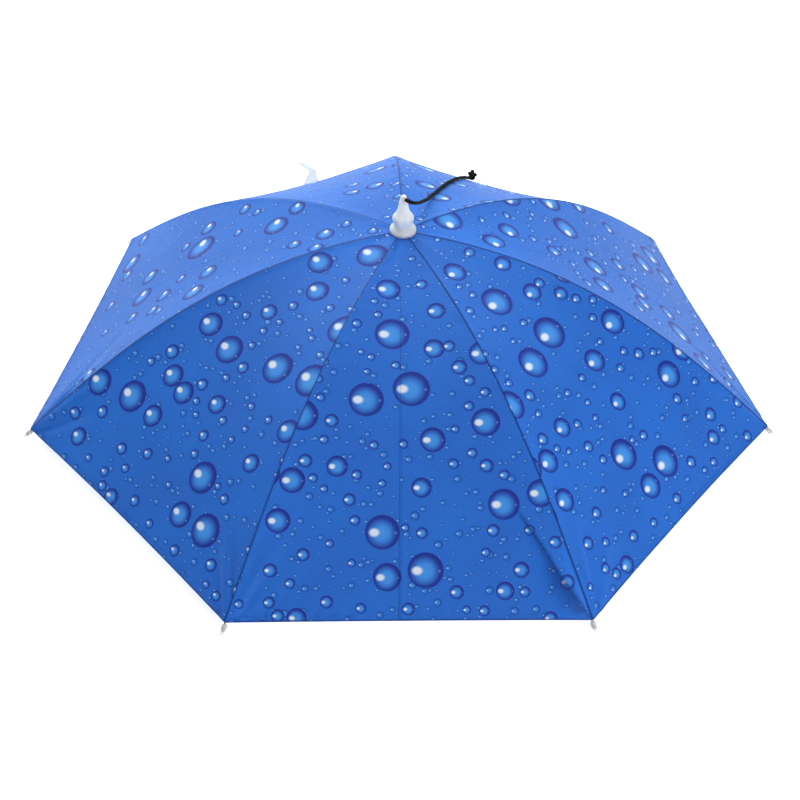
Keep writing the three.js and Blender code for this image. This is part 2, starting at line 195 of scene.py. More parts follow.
def unit(vectors):
    lengths = np.linalg.norm(vectors, axis=-1, keepdims=True)
    return vectors / np.maximum(lengths, 1e-12)


class RibCurve:
    """The curve of a seam over its rib, at equal steps of arc."""

    steps = 400
    near = 0.002  # how far apart the points of a slope are taken, as a share

    def __init__(self, canopy):
        self.canopy = canopy
        middles = (np.arange(self.steps) + 0.5) / self.steps
        slopes = self.slope(middles)
        level, down = np.cos(slopes), np.sin(slopes)
        size = canopy.radius / level.sum()
        self.places = np.linspace(0, 1, self.steps + 1)
        self.radii = size * np.concatenate([[0], np.cumsum(level)])
        self.drops = size * np.concatenate([[0], np.cumsum(down)])
        flattened = np.hypot(level * FLAT_SHARE, down)
        self.middle_line = size * np.concatenate([[0], np.cumsum(flattened)])
        self.length = size * self.steps

    def slope(self, share):
        canopy = self.canopy
        bend = np.sin(np.asarray(share) * math.pi / 2) ** canopy.bend_power
        return canopy.hub_slope + (canopy.rim_slope - canopy.hub_slope) * bend

    def radius(self, share):
        return np.interp(share, self.places, self.radii)

    def drop(self, share):
        return np.interp(share, self.places, self.drops)

    def down_panel(self, share):
        """Distance from the crown down a panel's middle, as its flat cloth measures it."""
        return np.interp(share, self.places, self.middle_line)

    def share_at(self, radius):
        return float(np.interp(radius, self.radii, self.places))

    def seam(self, seam, share):
        """Points of a seam, from the crown."""
        share = np.asarray(share, float)
        out = level_out(seam_turn(seam))
        return self.radius(share)[..., None] * out - self.drop(share)[..., None] * UP

    def half_chord(self, share):
        return self.radius(share) * math.sin(PANEL_TURN / 2)

    def square_to_cloth(self, panel, share, across, sag, pull):
        """Directions square to a panel's outer face, before its folds, seams and hem."""
        before, after = np.clip(share - self.near, 0, 1), np.clip(share + self.near, 0, 1)
        left, right = np.clip(across - self.near, 0, 1), np.clip(across + self.near, 0, 1)
        along = self.cloth(panel, after, across, sag, pull)
        along = along - self.cloth(panel, before, across, sag, pull)
        over = self.cloth(panel, share, right, sag, pull)
        over = over - self.cloth(panel, share, left, sag, pull)
        return unit(np.cross(along, over))

    def cloth(self, panel, share, across, sag, pull):
        """Points of a panel's outer face: share from hub to rim, across from seam to seam."""
        share, across = np.broadcast_arrays(np.asarray(share, float), np.asarray(across, float))
        start, end = self.seam(panel, share), self.seam(panel + 1, share)
        bow = np.clip(1 - (2 * across - 1) ** 2, 0, 1)
        slope = np.arctan(np.tan(self.slope(share)) / FLAT_SHARE)
        out = level_out(seam_turn(panel + 0.5))
        square = np.sin(slope)[..., None] * out + np.cos(slope)[..., None] * UP
        down = np.cos(slope)[..., None] * out - np.sin(slope)[..., None] * UP
        sink = sag * np.sin(math.pi * np.clip(share, 0, 1)) * bow
        short = pull * np.clip(share, 0, 1) ** 6 * bow
        points = start + (end - start) * across[..., None]
        return points - square * sink[..., None] - down * short[..., None]

    def rib(self, seam, share, wire):
        """Centre of a rib's wire: under the seam, clear of the two panels beside it."""
        slope = float(self.slope(share))
        square = face_up(seam_turn(seam), slope)
        places = np.array([max(share - self.near, 0), min(share + self.near, 1)])
        along = np.diff(self.cloth(seam, places, 0.0, SOLID_SAG, SOLID_PULL), axis=0)[0]
        edge = np.array([0.0, self.near])
        over = np.diff(self.cloth(seam, share, edge, SOLID_SAG, SOLID_PULL), axis=0)[0]
        lean = max(float(unit(np.cross(along, over)) @ square), 0.5)
        return self.seam(seam, share) - square * (SOLID_CLOTH + (wire + CLEARANCE) / lean)


def smooth_steps(value, start, end):
    share = np.clip((value - start) / (end - start), 0, 1)
    return share * share * (3 - 2 * share)


def add_object(name, mesh, *materials):
    piece = bpy.data.objects.new(name, mesh)
    bpy.context.scene.collection.objects.link(piece)
    for material in materials:
        mesh.materials.append(material)
    return piece


def mesh_of(name, points, faces, smooth_angle=40.0):
    """A mesh in the row frame from points counted from the crown."""
    mesh = bpy.data.meshes.new(name)
    mesh.from_pydata((np.asarray(points, float) + CROWN).tolist(), [], faces)
    mesh.validate()
    mesh.polygons.foreach_set("use_smooth", np.ones(len(mesh.polygons), bool))
    mesh.set_sharp_from_angle(angle=math.radians(smooth_angle))
    mesh.update()
    return mesh


def settle(piece, slot, *nodes):
    """The piece rides on the hat and stands for its nodes, which are hidden."""
    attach(piece, "root")
    if nodes:
        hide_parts(*nodes)
    return piece


def joined(parts):
    """Several lots of points and faces as one."""
    points, faces, start = [], [], 0
    for some_points, some_faces in parts:
        points.append(np.asarray(some_points, float))
        faces.extend([tuple(start + corner for corner in face) for face in some_faces])
        start += len(some_points)
    return np.concatenate(points), faces


def ring_faces(rings, sides, closed_ends=True):
    """Faces of a skin through rings of points, one after another."""
    faces = []
    for ring in range(rings - 1):
        for side in range(sides):
            after = (side + 1) % sides
            here, there = ring * sides, (ring + 1) * sides
            faces.append((here + side, here + after, there + after, there + side))
    if closed_ends:
        faces.append(tuple(reversed(range(sides))))
        faces.append(tuple((rings - 1) * sides + side for side in range(sides)))
    return faces


def carried_frames(line):
    """Two directions square to a line at each of its points, carried along without a twist."""
    ahead = unit(np.gradient(line, axis=0))
    start = np.array([0.0, 0.0, 1.0]) if abs(ahead[0][2]) < 0.9 else np.array([1.0, 0.0, 0.0])
    first = [unit(np.cross(np.cross(ahead[0], start), ahead[0]))]
    for direction in ahead[1:]:
        kept = first[-1] - direction * (first[-1] @ direction)
        first.append(unit(kept))
    first = np.array(first)
    return first, np.cross(ahead, first)


def tube(line, section):
    """Points and faces of a closed skin along a line. section gives the rings' (x, y) points:
    one list for all rings, or a list for each."""
    line = np.asarray(line, float)
    section = np.asarray(section, float)
    if section.ndim == 2:
        section = np.repeat(section[None], len(line), axis=0)
    first, second = carried_frames(line)
    rings = line[:, None] + section[..., :1] * first[:, None] + section[..., 1:] * second[:, None]
    return rings.reshape(-1, 3), ring_faces(len(line), section.shape[1])


def circle(radius, sides):
    turns = np.arange(sides) * 2 * math.pi / sides
    return np.stack([np.cos(turns), np.sin(turns)], axis=1) * radius


def rounded_strip(width, height, corner, steps=4):
    """Outline of a flat strip with rounded edges, listed counterclockwise."""
    points = []
    for quarter, (x, y) in enumerate([(1, 1), (-1, 1), (-1, -1), (1, -1)]):
        for step in range(steps + 1):
            turn = math.pi / 2 * (quarter + step / steps)
            points.append((
                x * (width / 2 - corner) + corner * math.cos(turn),
                y * (height / 2 - corner) + corner * math.sin(turn),
            ))
    return np.array(points)


def turned(outline, sides, lobes=None):
    """A body turned about the hub's axis from (radius, height) pairs, listed upwards outside.
    lobes, if given, takes the turns and heights and gives a factor on the radius."""
    outline = np.array([(max(radius, 1e-6), height) for radius, height in outline])
    turns = np.arange(sides) * 2 * math.pi / sides
    radii = np.repeat(outline[:, :1], sides, axis=1)
    if lobes:
        radii = radii * lobes(turns[None], outline[:, 1:])
    heights = np.repeat(outline[:, 1:], sides, axis=1)
    points = np.stack([radii * np.cos(turns), radii * np.sin(turns), heights], axis=-1)
    return points.reshape(-1, 3), ring_faces(len(outline), sides)


def arc(centre, radius, start, end, steps):
    """Points of an arc in an outline, its turns in degrees."""
    turns = [math.radians(start + (end - start) * step / steps) for step in range(steps + 1)]
    return [(centre[0] + radius * math.cos(t), centre[1] + radius * math.sin(t)) for t in turns]


def rounded_disc(radius, low, high, corner, bore=0.0):
    """Outline of a disc or ring with rounded outer edges."""
    outline = [(bore, low)]
    outline += arc((radius - corner, low + corner), corner, -90, 0, 4)
    outline += arc((radius - corner, high - corner), corner, 0, 90, 4)
    outline.append((bore, high))
    if bore:
        outline.append((bore, low))
    return outline


def spline(points, samples):
    """A smooth curve through points, evenly parted between them."""
    points = np.asarray(points, float)
    ends = np.concatenate([[2 * points[0] - points[1]], points, [2 * points[-1] - points[-2]]])
    made = []
    for start in range(len(points) - 1):
        before, here, there, after = ends[start : start + 4]
        gaps = [max(np.linalg.norm(b - a), 1e-9) ** 0.5 for a, b in
                ((before, here), (here, there), (there, after))]
        leave = (here - before) / gaps[0] - (there - before) / (gaps[0] + gaps[1])
        leave = (leave + (there - here) / gaps[1]) * gaps[1]
        arrive = (there - here) / gaps[1] - (after - here) / (gaps[1] + gaps[2])
        arrive = (arrive + (after - there) / gaps[2]) * gaps[1]
        for step in range(samples):
            t = step / samples
            made.append(
                here * (2 * t**3 - 3 * t**2 + 1)
                + leave * (t**3 - 2 * t**2 + t)
                + there * (3 * t**2 - 2 * t**3)
                + arrive * (t**3 - t**2)
            )
    made.append(points[-1])
    return np.array(made)


def evenly(line, spacing):
    """The same line with points at equal distances."""
    steps = np.linalg.norm(np.diff(line, axis=0), axis=1)
    reach = np.concatenate([[0], np.cumsum(steps)])
    count = max(int(round(reach[-1] / spacing)), 2)
    places = np.linspace(0, reach[-1], count + 1)
    return np.stack([np.interp(places, reach, line[:, axis]) for axis in range(3)], axis=1)


def carved(piece, cutters):
    """Cuts other bodies out of a piece and removes them."""
    for cutter in cutters:
        cut = piece.modifiers.new("Cut", "BOOLEAN")
        cut.operation = "DIFFERENCE"
        cut.solver = "EXACT"
        cut.object = cutter
    bpy.context.view_layer.update()
    graph = bpy.context.evaluated_depsgraph_get()
    mesh = bpy.data.meshes.new_from_object(piece.evaluated_get(graph))
    piece.modifiers.clear()
    piece.data = mesh
    mesh.polygons.foreach_set("use_smooth", np.ones(len(mesh.polygons), bool))
    mesh.set_sharp_from_angle(angle=math.radians(35))
    for cutter in cutters:
        bpy.data.objects.remove(cutter)
    return piece


class Shader:
    """A node material under construction."""

    def __init__(self, name):
        self.material = bpy.data.materials.new(name)
        self.material.use_nodes = True
        self.tree = self.material.node_tree
        self.tree.nodes.clear()

    def node(self, kind, inputs=None, **settings):
        made = self.tree.nodes.new(kind)
        for key, value in settings.items():
            setattr(made, key, value)
        for key, value in (inputs or {}).items():
            self.feed(made.inputs[key], value)
        return made

    def feed(self, socket, value):
        if isinstance(value, bpy.types.NodeSocket):
            self.tree.links.new(value, socket)
        else:
            socket.default_value = value

    def math(self, operation, *values):
        return self.node("ShaderNodeMath", dict(enumerate(values)), operation=operation).outputs[0]

    def vector(self, operation, *values):
        made = self.node("ShaderNodeVectorMath", dict(enumerate(values)), operation=operation)
        return made.outputs["Value" if operation in ("LENGTH", "DISTANCE") else "Vector"]

    def scaled(self, vector, factor):
        made = self.node("ShaderNodeVectorMath", {0: vector, 3: factor}, operation="SCALE")
        return made.outputs["Vector"]

    def step(self, value, start, end):
        """0 at start and 1 at end, eased between them."""
        inputs = {0: value, 1: start, 2: end, 3: 0.0, 4: 1.0}
        made = self.node("ShaderNodeMapRange", inputs, interpolation_type="SMOOTHSTEP")
        return made.outputs[0]

    def range(self, value, low, high):
        """A value from 0 to 1 spread from low to high."""
        return self.node("ShaderNodeMapRange", {0: value, 3: low, 4: high}).outputs[0]

    def blend(self, factor, under, over, kind="MIX"):
        inputs = {0: factor, 6: under, 7: over}
        return self.node("ShaderNodeMix", inputs, data_type="RGBA", blend_type=kind).outputs[2]

    def mottled(self, pattern, start, end, under, over):
        """One colour that turns into another where a pattern goes from start to end."""
        return self.blend(self.step(pattern, start, end), under, over)

    def ramp(self, value, stops):
        made = self.node("ShaderNodeValToRGB", {0: value})
        elements = made.color_ramp.elements
        while len(elements) < len(stops):
            elements.new(0.5)
        for element, (place, colour) in zip(elements, stops):
            element.position = place
            element.color = colour
        return made.outputs[0]

    def noise(self, place, scale, detail=2.0, roughness=0.5):
        inputs = {"Vector": place, "Scale": scale, "Detail": detail, "Roughness": roughness}
        return self.node("ShaderNodeTexNoise", inputs).outputs["Fac"]

    def map(self, name):
        return self.node("ShaderNodeUVMap", uv_map=name).outputs[0]

    def place(self):
        return self.node("ShaderNodeTexCoord").outputs["Object"]

    def bump(self, height, distance, strength=1.0):
        inputs = {"Height": height, "Distance": distance, "Strength": strength}
        return self.node("ShaderNodeBump", inputs).outputs[0]

    def surface(self, **sockets):
        """The finished surface: words of each socket's name joined by an underscore."""
        inputs = {key.replace("_", " "): value for key, value in sockets.items()}
        skin = self.node("ShaderNodeBsdfPrincipled", inputs)
        self.node("ShaderNodeOutputMaterial", {"Surface": skin.outputs[0]})
        return self.material


def opaque(colour):
    return (*colour[:3], 1.0)


def mixed(first, second, share):
    """A colour between two others, before any shader."""
    return tuple(a + (b - a) * share for a, b in zip(opaque(first), opaque(second)))


# Places within a drop, whose own coordinates run from -1 to 1, and radii of its light spot
SPOT_PLACE = (-0.4, 0.02, 0.0)
SPOT_SHAPE = (0.85, 1.05, 1.0)
SECOND_SPOT_PLACE = (0.76, 0.05, 0.0)
GLOW_PLACE = (-0.06, 0.05, 0.0)
SMALL_SPOT = 0.22
LARGE_SPOT = 0.25
WEAVE_PITCH = 0.55 * MM


def painted_drops(shader, under, local, stops, spot, spot_radius):
    """Round drops over a colour. local runs from -1 to 1 across each drop."""
    away = shader.vector("LENGTH", local)
    body = shader.ramp(shader.vector("DISTANCE", local, GLOW_PLACE), stops)
    made = shader.blend(shader.step(away, 1.03, 0.95), under, body)
    flattened = shader.vector("MULTIPLY", local, SPOT_SHAPE)
    near_spot = shader.vector("DISTANCE", flattened, SPOT_PLACE)
    return shader.blend(shader.step(near_spot, spot_radius * 1.3, spot_radius * 0.55), made, spot)


def scattered(shader, place, cell, radii, share, seed):
    """Local coordinates of drops scattered one to a cell of the cloth, of radii[0] to radii[1]."""
    shifted = shader.vector("ADD", place, (seed * 0.37, seed * 0.61, 0.0))
    cells = shader.scaled(shifted, 1 / cell)
    inputs = {"Vector": cells, "Scale": 1.0, "Randomness": 1.0}
    near = shader.node("ShaderNodeTexVoronoi", inputs, voronoi_dimensions="2D", feature="F1")
    room = shader.node(
        "ShaderNodeTexVoronoi", inputs, voronoi_dimensions="2D", feature="N_SPHERE_RADIUS"
    )
    chance = shader.node("ShaderNodeSeparateColor", {0: near.outputs["Color"]})
    spread = shader.math("POWER", chance.outputs[0], 1.4)
    wished = shader.range(spread, radii[0] / cell, radii[1] / cell)
    free = shader.math("MULTIPLY", room.outputs["Radius"], 0.9)
    there = shader.math("LESS_THAN", chance.outputs[1], share)
    radius = shader.math("MAXIMUM", shader.math("MINIMUM", wished, free), 0.001)
    radius = shader.math("MULTIPLY", radius, shader.math("MAXIMUM", there, 0.0001))
    from_middle = shader.vector("SUBTRACT", cells, near.outputs["Position"])
    return shader.scaled(from_middle, shader.math("DIVIDE", 1.0, radius))


def woven_height(shader, place):
    """Height of a plain weave, in a flat cloth's own coordinates."""
    parts = shader.node("ShaderNodeSeparateXYZ", {0: place})
    waves = []
    for axis in (0, 1):
        turns = shader.math("MULTIPLY", parts.outputs[axis], 2 * math.pi / WEAVE_PITCH)
        waves.append(shader.math("SINE", turns))
    return shader.math("MULTIPLY", *waves)


def print_material(canopy):
    """The canopy's outer face: blue coated polyester printed with drops of water."""
    shader = Shader("canopy_print")
    ground, glow, rim = opaque(canopy.ground), opaque(canopy.glow), opaque(canopy.rim)
    dark = mixed(ground, (0.006, 0.03, 0.24), 0.62)
    pale = mixed(ground, canopy.spot, 0.25)
    place = shader.map("print")
    shade = shader.noise(place, 9.0, 3.0)
    deeper = mixed(ground, (0.02, 0.09, 0.45), 0.35)
    colour = shader.mottled(shade, 0.3, 0.72, deeper, ground)
    # Small drops: size of a cell, smallest and largest radius, share of cells and seed
    layers = [
        (10 * MM, (0.6 * MM, 1.3 * MM), 0.35, 3),
        (15 * MM, (1.4 * MM, 2.6 * MM), 0.68, 5),
        (23 * MM, (2.7 * MM, 4.3 * MM), 0.8, 8),
    ]
    small = [
        (0.0, mixed(glow, ground, 0.3)),
        (0.5, mixed(glow, ground, 0.7)),
        (0.78, dark),
        (1.0, dark),
    ]
    dull_spot = mixed(glow, canopy.spot, 0.4)
    for cell, radii, share, seed in layers:
        local = scattered(shader, place, cell, radii, share, seed)
        colour = painted_drops(shader, colour, local, small, dull_spot, SMALL_SPOT)
    deep = mixed(ground, rim, 0.5)
    large = [
        (0.0, mixed(glow, ground, 0.12)),
        (0.4, mixed(glow, ground, 0.35)),
        (0.66, mixed(deep, glow, 0.18)),
        (0.84, mixed(rim, ground, 0.1)),
        (1.0, rim),
    ]
    for name in reversed(DROP_MAPS):
        local = shader.map(name)
        colour = painted_drops(shader, colour, local, large, opaque(canopy.spot), LARGE_SPOT)
        glint = shader.step(shader.vector("DISTANCE", local, SECOND_SPOT_PLACE), 0.1, 0.03)
        colour = shader.blend(shader.math("MULTIPLY", glint, 0.55), colour, pale)
    # Painted shade: the print turns dark blue along the seams, the hem's edge, the pressed crease's
    # groove and the front panel's sharp fold, where shade falls
    line = shader.node("ShaderNodeAttribute", attribute_name="painted_seam_and_fold_shade").outputs["Fac"]
    shade_navy = mixed(ground, (0.0, 0.008, 0.13), 0.88)
    colour = shader.blend(shader.math("MULTIPLY", line, 0.9), colour, shade_navy)
    threads = shader.noise(place, 900.0, 1.0)
    colour = shader.blend(shader.math("MULTIPLY", threads, 0.12), colour, mixed(ground, rim, 0.3))
    weave = woven_height(shader, place)
    uneven = shader.noise(place, 350.0, 3.0)
    slubs = shader.math("ADD", shader.math("MULTIPLY", weave, 0.5), uneven)
    roughness = shader.range(shader.noise(place, 60.0, 2.0), 0.46, 0.6)
    return shader.surface(
        Base_Color=colour,
        Roughness=roughness,
        IOR=1.28,
        Normal=shader.bump(slubs, 0.12 * MM, 0.5),
    )


def coating_material(canopy):
    """The canopy's inner face: a pale coating over the weave."""
    shader = Shader("canopy_coating")
    place = shader.map("print")
    shade = shader.noise(place, 14.0, 3.0)
    bluer = mixed(canopy.coating, (0.3, 0.42, 0.62), 0.25)
    colour = shader.mottled(shade, 0.3, 0.7, bluer, opaque(canopy.coating))
    weave = woven_height(shader, place)
    uneven = shader.noise(place, 420.0, 2.0)
    height = shader.math("ADD", shader.math("MULTIPLY", weave, 0.6), uneven)
    roughness = shader.range(shader.noise(place, 80.0, 2.0), 0.34, 0.5)
    return shader.surface(
        Base_Color=colour,
        Roughness=roughness,
        Metallic=0.25,
        Normal=shader.bump(height, 0.1 * MM, 0.5),
    )


def milky_plastic(hardware):
    """Milky moulded plastic, slightly translucent."""
    shader = Shader("milky_plastic")
    place = shader.place()
    cloud = shader.noise(place, 90.0, 3.0)
    cloudy = mixed(hardware.white, (0.62, 0.7, 0.82), 0.3)
    colour = shader.blend(cloud, cloudy, opaque(hardware.white))
    scuffs = shader.noise(place, 700.0, 4.0, 0.7)
    return shader.surface(
        Base_Color=colour,
        Roughness=shader.range(scuffs, 0.2, 0.42),
        Subsurface_Weight=0.75,
        Subsurface_Scale=0.012,
        Subsurface_Radius=(1.0, 1.0, 1.1),
        IOR=1.46,
        Normal=shader.bump(scuffs, 0.05 * MM, 0.4),
    )


def satin_plastic(hardware):
    """Black moulded plastic with a fine satin grain and rubbed edges."""
    shader = Shader("satin_plastic")
    place = shader.place()
    grain = shader.noise(place, 1400.0, 3.0, 0.6)
    rubbed = shader.noise(place, 60.0, 4.0, 0.7)
    worn = mixed(hardware.black, (0.2, 0.2, 0.21), 0.2)
    colour = shader.mottled(rubbed, 0.55, 0.8, opaque(hardware.black), worn)
    return shader.surface(
        Base_Color=colour,
        Roughness=shader.range(rubbed, 0.34, 0.52),
        Normal=shader.bump(grain, 0.06 * MM, 0.5),
    )


def plated_wire(hardware):
    """Drawn and plated wire, with fine marks along it and dull patches."""
    shader = Shader("plated_wire")
    place = shader.place()
    dull = shader.noise(place, 120.0, 4.0, 0.65)
    marks = shader.noise(place, 2500.0, 2.0)
    greyer = mixed(hardware.steel, (0.2, 0.2, 0.2), 0.35)
    colour = shader.mottled(dull, 0.45, 0.75, opaque(hardware.steel), greyer)
    return shader.surface(
        Base_Color=colour,
        Metallic=0.95,
        Roughness=shader.range(dull, 0.2, 0.46),
        Normal=shader.bump(marks, 0.02 * MM, 0.4),
    )


def woven_elastic(hardware):
    """Black woven elastic with pale rubber just showing between its ribs."""
    shader = Shader("woven_elastic")
    place = shader.map("band")
    parts = shader.node("ShaderNodeSeparateXYZ", {0: place})
    picks = shader.math("SINE", shader.math("MULTIPLY", parts.outputs[1], 2 * math.pi / (0.8 * MM)))
    fuzz = shader.noise(place, 1500.0, 2.0)
    rubber = mixed(hardware.elastic, (0.2, 0.2, 0.22), 0.3)
    colour = shader.mottled(fuzz, 0.35, 0.8, opaque(hardware.elastic), rubber)
    height = shader.math("ADD", shader.math("MULTIPLY", picks, 0.5), fuzz)
    return shader.surface(
        Base_Color=colour,
        Roughness=0.85,
        Sheen_Weight=0.3,
        Normal=shader.bump(height, 0.12 * MM, 0.7),
    )


def braided_cord(trim):
    """Black braided polyester with a slight shine on its strands."""
    shader = Shader("braided_cord")
    place = shader.place()
    fibres = shader.noise(place, 2600.0, 3.0, 0.7)
    paler = mixed(trim.cord_colour, (0.05, 0.05, 0.055), 0.45)
    colour = shader.blend(fibres, opaque(trim.cord_colour), paler)
    return shader.surface(
        Base_Color=colour,
        Roughness=0.9,
        IOR=1.2,
        Normal=shader.bump(fibres, 0.12 * MM, 0.6),
    )


def thread_material(name, colour):
    """Sewing thread: two plies with a slight shine."""
    shader = Shader(name)
    place = shader.place()
    plies = shader.noise(place, 3800.0, 2.0, 0.6)
    shade = shader.blend(plies, colour, mixed(colour, (0.02, 0.05, 0.2), 0.3))
    return shader.surface(
        Base_Color=shade,
        Roughness=0.5,
        Normal=shader.bump(plies, 0.05 * MM, 0.6),
    )


def strap_lining(trim):
    """The strap: the same cloth with its pale coated side out, crumpled by handling."""
    shader = Shader("strap_lining")
    place = shader.map("print")
    crumple = shader.noise(place, 120.0, 4.0, 0.6)
    bluer = mixed(trim.strap_colour, (0.35, 0.5, 0.7), 0.25)
    colour = shader.mottled(crumple, 0.35, 0.65, bluer, opaque(trim.strap_colour))
    height = shader.math("ADD", woven_height(shader, place), crumple)
    return shader.surface(
        Base_Color=colour,
        Roughness=0.45,
        Subsurface_Weight=0.8,
        Subsurface_Scale=0.006,
        Subsurface_Radius=(1.0, 1.0, 1.0),
        Normal=shader.bump(height, 0.12 * MM, 0.5),
    )


def material(name, make, *sizes):
    """A material by name, made once."""
    return bpy.data.materials.get(name) or make(*sizes)


# The larger drops of the cloth's print, charted from the photo: across and down the cloth in mm,
# and the drop's radius. The gores are cut from it at the places in PANEL_CUTS.
PRINT_DROPS = [
    (-16, 79, 12), (16, 73, 6), (29, 105, 9), (-46, 120, 5), (-13, 130, 16.5), (26, 146, 10),
    (40, 144, 6), (49, 166, 7.5), (58, 180, 5.5), (70, 153, 12), (4, 187, 17.5), (-38, 198, 16.5),
    (-70, 219, 6.5), (-97, 214, 15), (72, 192, 5), (57, 205, 5), (72, 221, 13.5), (23, 237, 12),
    (-94, 257, 6.5), (-65, 262, 10), (-106, 275, 12), (59, 250, 5), (72, 262, 6.5), (12, 282, 9.5),
    (87, 298, 14.5), (121, 288, 13), (-54, 293, 6), (-119, 312, 11.5), (-49, 312, 5),
    (-24, 323, 16), (12, 324, 5.5), (77, 322, 6), (133, 333, 6), (-96, 343, 6), (-126, 357, 6.5),
    (15, 358, 16.5), (-20, 364, 13), (102, 358, 7.5), (143, 369, 7), (87, 377, 8.5), (105, 378, 5),
    (43, 378, 6.5), (-108, 369, 5), (-75, 386, 6), (-127, 386, 5.5), (-102, 400, 9), (-1, 393, 6),
    (68, 395, 5), (128, 402, 6.5), (-67, 48, 16), (-98, 89, 13), (-73, 114, 12), (-94, 161, 9),
    (-144, 182, 6.5), (-134, 207, 13), (-148, 252, 8), (-129, 269, 12), (-154, 311, 16.5),
    (-198, 322, 14), (-174, 343, 7), (-203, 363, 7), (-181, 378, 10), (-79, 141, 5.5),
    (8, 40, 4), (-26, 109, 4.5), (-29, 94, 4), (-10, 163, 4.5), (-42, 150, 3.5), (-33, 155, 4),
    (-37, 170, 3.5), (44, 227, 4), (-4, 241, 4.5), (-31, 242, 4.5), (-77, 237, 4.5), (-47, 270, 5),
    (42, 260, 5), (88, 271, 5), (-19, 262, 4), (-24, 278, 4), (-87, 273, 4.5), (-77, 283, 4),
    (-3, 319, 4), (110, 322, 5), (-72, 333, 4), (70, 342, 4.5), (-52, 351, 4), (-44, 392, 5),
    (-119, 398, 6), (52, 394, 4), (-154, 387, 4.5), (-61, 87, 4.5), (-76, 162, 4), (-82, 179, 4.5),
    (-110, 178, 5), (-127, 176, 4.5), (-80, 197, 4.5), (-161, 273, 5), (290, 60, 6),
    (305, 79, 10), (331, 82, 9), (318, 109, 8), (254, 122, 9.5), (276, 141, 14), (243, 172, 5.5),
    (229, 191, 8), (269, 189, 6), (328, 208, 11.5), (362, 213, 13), (235, 239, 10.5),
    (269, 238, 18), (317, 248, 7), (337, 264, 10), (361, 269, 8.5), (370, 256, 6), (251, 266, 7),
    (314, 306, 14), (276, 310, 12), (351, 304, 9), (210, 370, 15), (236, 365, 9), (289, 368, 8),
    (348, 348, 6), (432, 328, 10), (166, 368, 10), (332, -2, 5), (-102, 25, 5), (-78, 19, 3.5),
    (-123, 61, 4.5), (-137, 76, 8), (-147, 103, 9), (302, 30, 6), (310, 41, 3),
]
# Maps that hold each drop's own coordinates, and the value in them far from any drop
DROP_MAPS = ("drops_a", "drops_b", "drops_c")
NO_DROP = 9.0

# Each panel: where its gore is cut from the print in mm, how far the rim is drawn in between
# its corners, and its pressed crease: place across as a share, and how sharp it is. Where they
# aren't the usual ones, it also has the width of the painted shade line along its left seam, and
# how uneven its cloth lies, in mm.
PANEL_CUTS = [
    {"across": 0, "down": 0, "pull": 0.5 * MM, "crease": 0.476, "sharpness": 1.0},
    {"across": 6, "down": -7, "pull": 2.5 * MM, "crease": 0.51, "sharpness": 0.15},
    {"across": 83, "down": 3, "pull": 4.5 * MM, "crease": 0.5, "sharpness": 0.35},
    {"across": 98, "down": 6, "pull": 3.0 * MM, "crease": 0.49, "sharpness": 0.3, "uneven": 0.3},
    {"across": -330, "down": 35, "pull": 3.0 * MM, "crease": 0.52, "sharpness": 0.4},
    {"across": -300, "down": 0, "pull": 4.5 * MM, "crease": 0.5, "sharpness": 0.35},
    {"across": 74, "down": -3, "pull": 2.5 * MM, "crease": 0.49, "sharpness": 0.15,
     "left_line": 3.2 * MM},
]

# Folds in a panel's flat cloth, all in mm: from one place to another, counted across from the
# middle and down from the crown, then the height, a valley's being negative, and how far it
# spreads to the left and to the right. Those in the second list rise and fall again.
CORNER_FOLDS = [
    [
        ((60, 350), (150, 403), 1.0, 9, 9),
        ((-112, 340), (-160, 401), -1.8, 5, 7),
        ((-96, 300), (-160, 398), 1.2, 8, 8),
        ((-60, 345), (-150, 402), -0.9, 9, 9),
    ],
    [
        ((-118, 330), (-163, 400), 1.5, 4, 5),
        ((-100, 320), (-160, 400), -1.6, 5, 6),
        ((-60, 335), (-155, 402), 1.1, 8, 8),
        ((70, 330), (160, 401), -1.5, 9, 9),
        ((105, 300), (163, 400), 1.3, 6, 6),
    ],
    [
        ((-60, 300), (-160, 399), -1.6, 8, 8),
        ((-108, 290), (-162, 398), 1.3, 6, 6),
        ((80, 320), (160, 399), -1.3, 7, 7),
    ],
    [
        ((-70, 320), (-160, 400), -1.0, 8, 8),
        ((90, 330), (160, 400), -1.0, 7, 7),
    ],
    [
        ((-60, 320), (-160, 400), -1.1, 7, 7),
        ((80, 310), (160, 400), -1.2, 8, 8),
    ],
    [
        ((70, 290), (160, 398), -1.6, 8, 8),
        ((108, 290), (162, 398), 2.4, 5, 6),
        ((-80, 330), (-160, 400), -1.2, 7, 7),
    ],
    [
        ((104, 330), (163, 402), 2.0, 4, 4),
        ((112, 322), (165, 398), -1.7, 4, 5),
        ((70, 320), (155, 403), -1.3, 9, 7),
        ((-80, 320), (-160, 400), -2.6, 8, 8),
        ((-112, 300), (-163, 397), 2.2, 5, 6),
    ],
]
CROWN_FOLDS = [
    [((-4, 8), (-12, 70), -0.8, 4, 4), ((5, 8), (14, 60), 0.6, 4, 4)],
    [((0, 6), (-8, 74), 2.2, 15, 6), ((7, 8), (16, 50), -0.7, 4, 4)],
    [
        ((-3, 8), (-12, 60), -0.8, 3, 4),
        ((3, 8), (8, 64), 0.7, 4, 4),
        ((7, 9), (17, 50), -0.7, 3, 3),
    ],
    [((-4, 8), (-10, 55), -0.6, 4, 4), ((6, 8), (14, 60), -0.6, 4, 4)],
    [((-5, 8), (-14, 60), -0.6, 4, 4), ((4, 8), (9, 50), 0.5, 4, 4)],
    [((-5, 8), (-13, 54), 0.5, 4, 4), ((4, 8), (13, 66), -0.6, 4, 4)],
    [((-4, 8), (-10, 60), -0.6, 4, 4), ((6, 8), (15, 66), 0.9, 9, 4)],
]

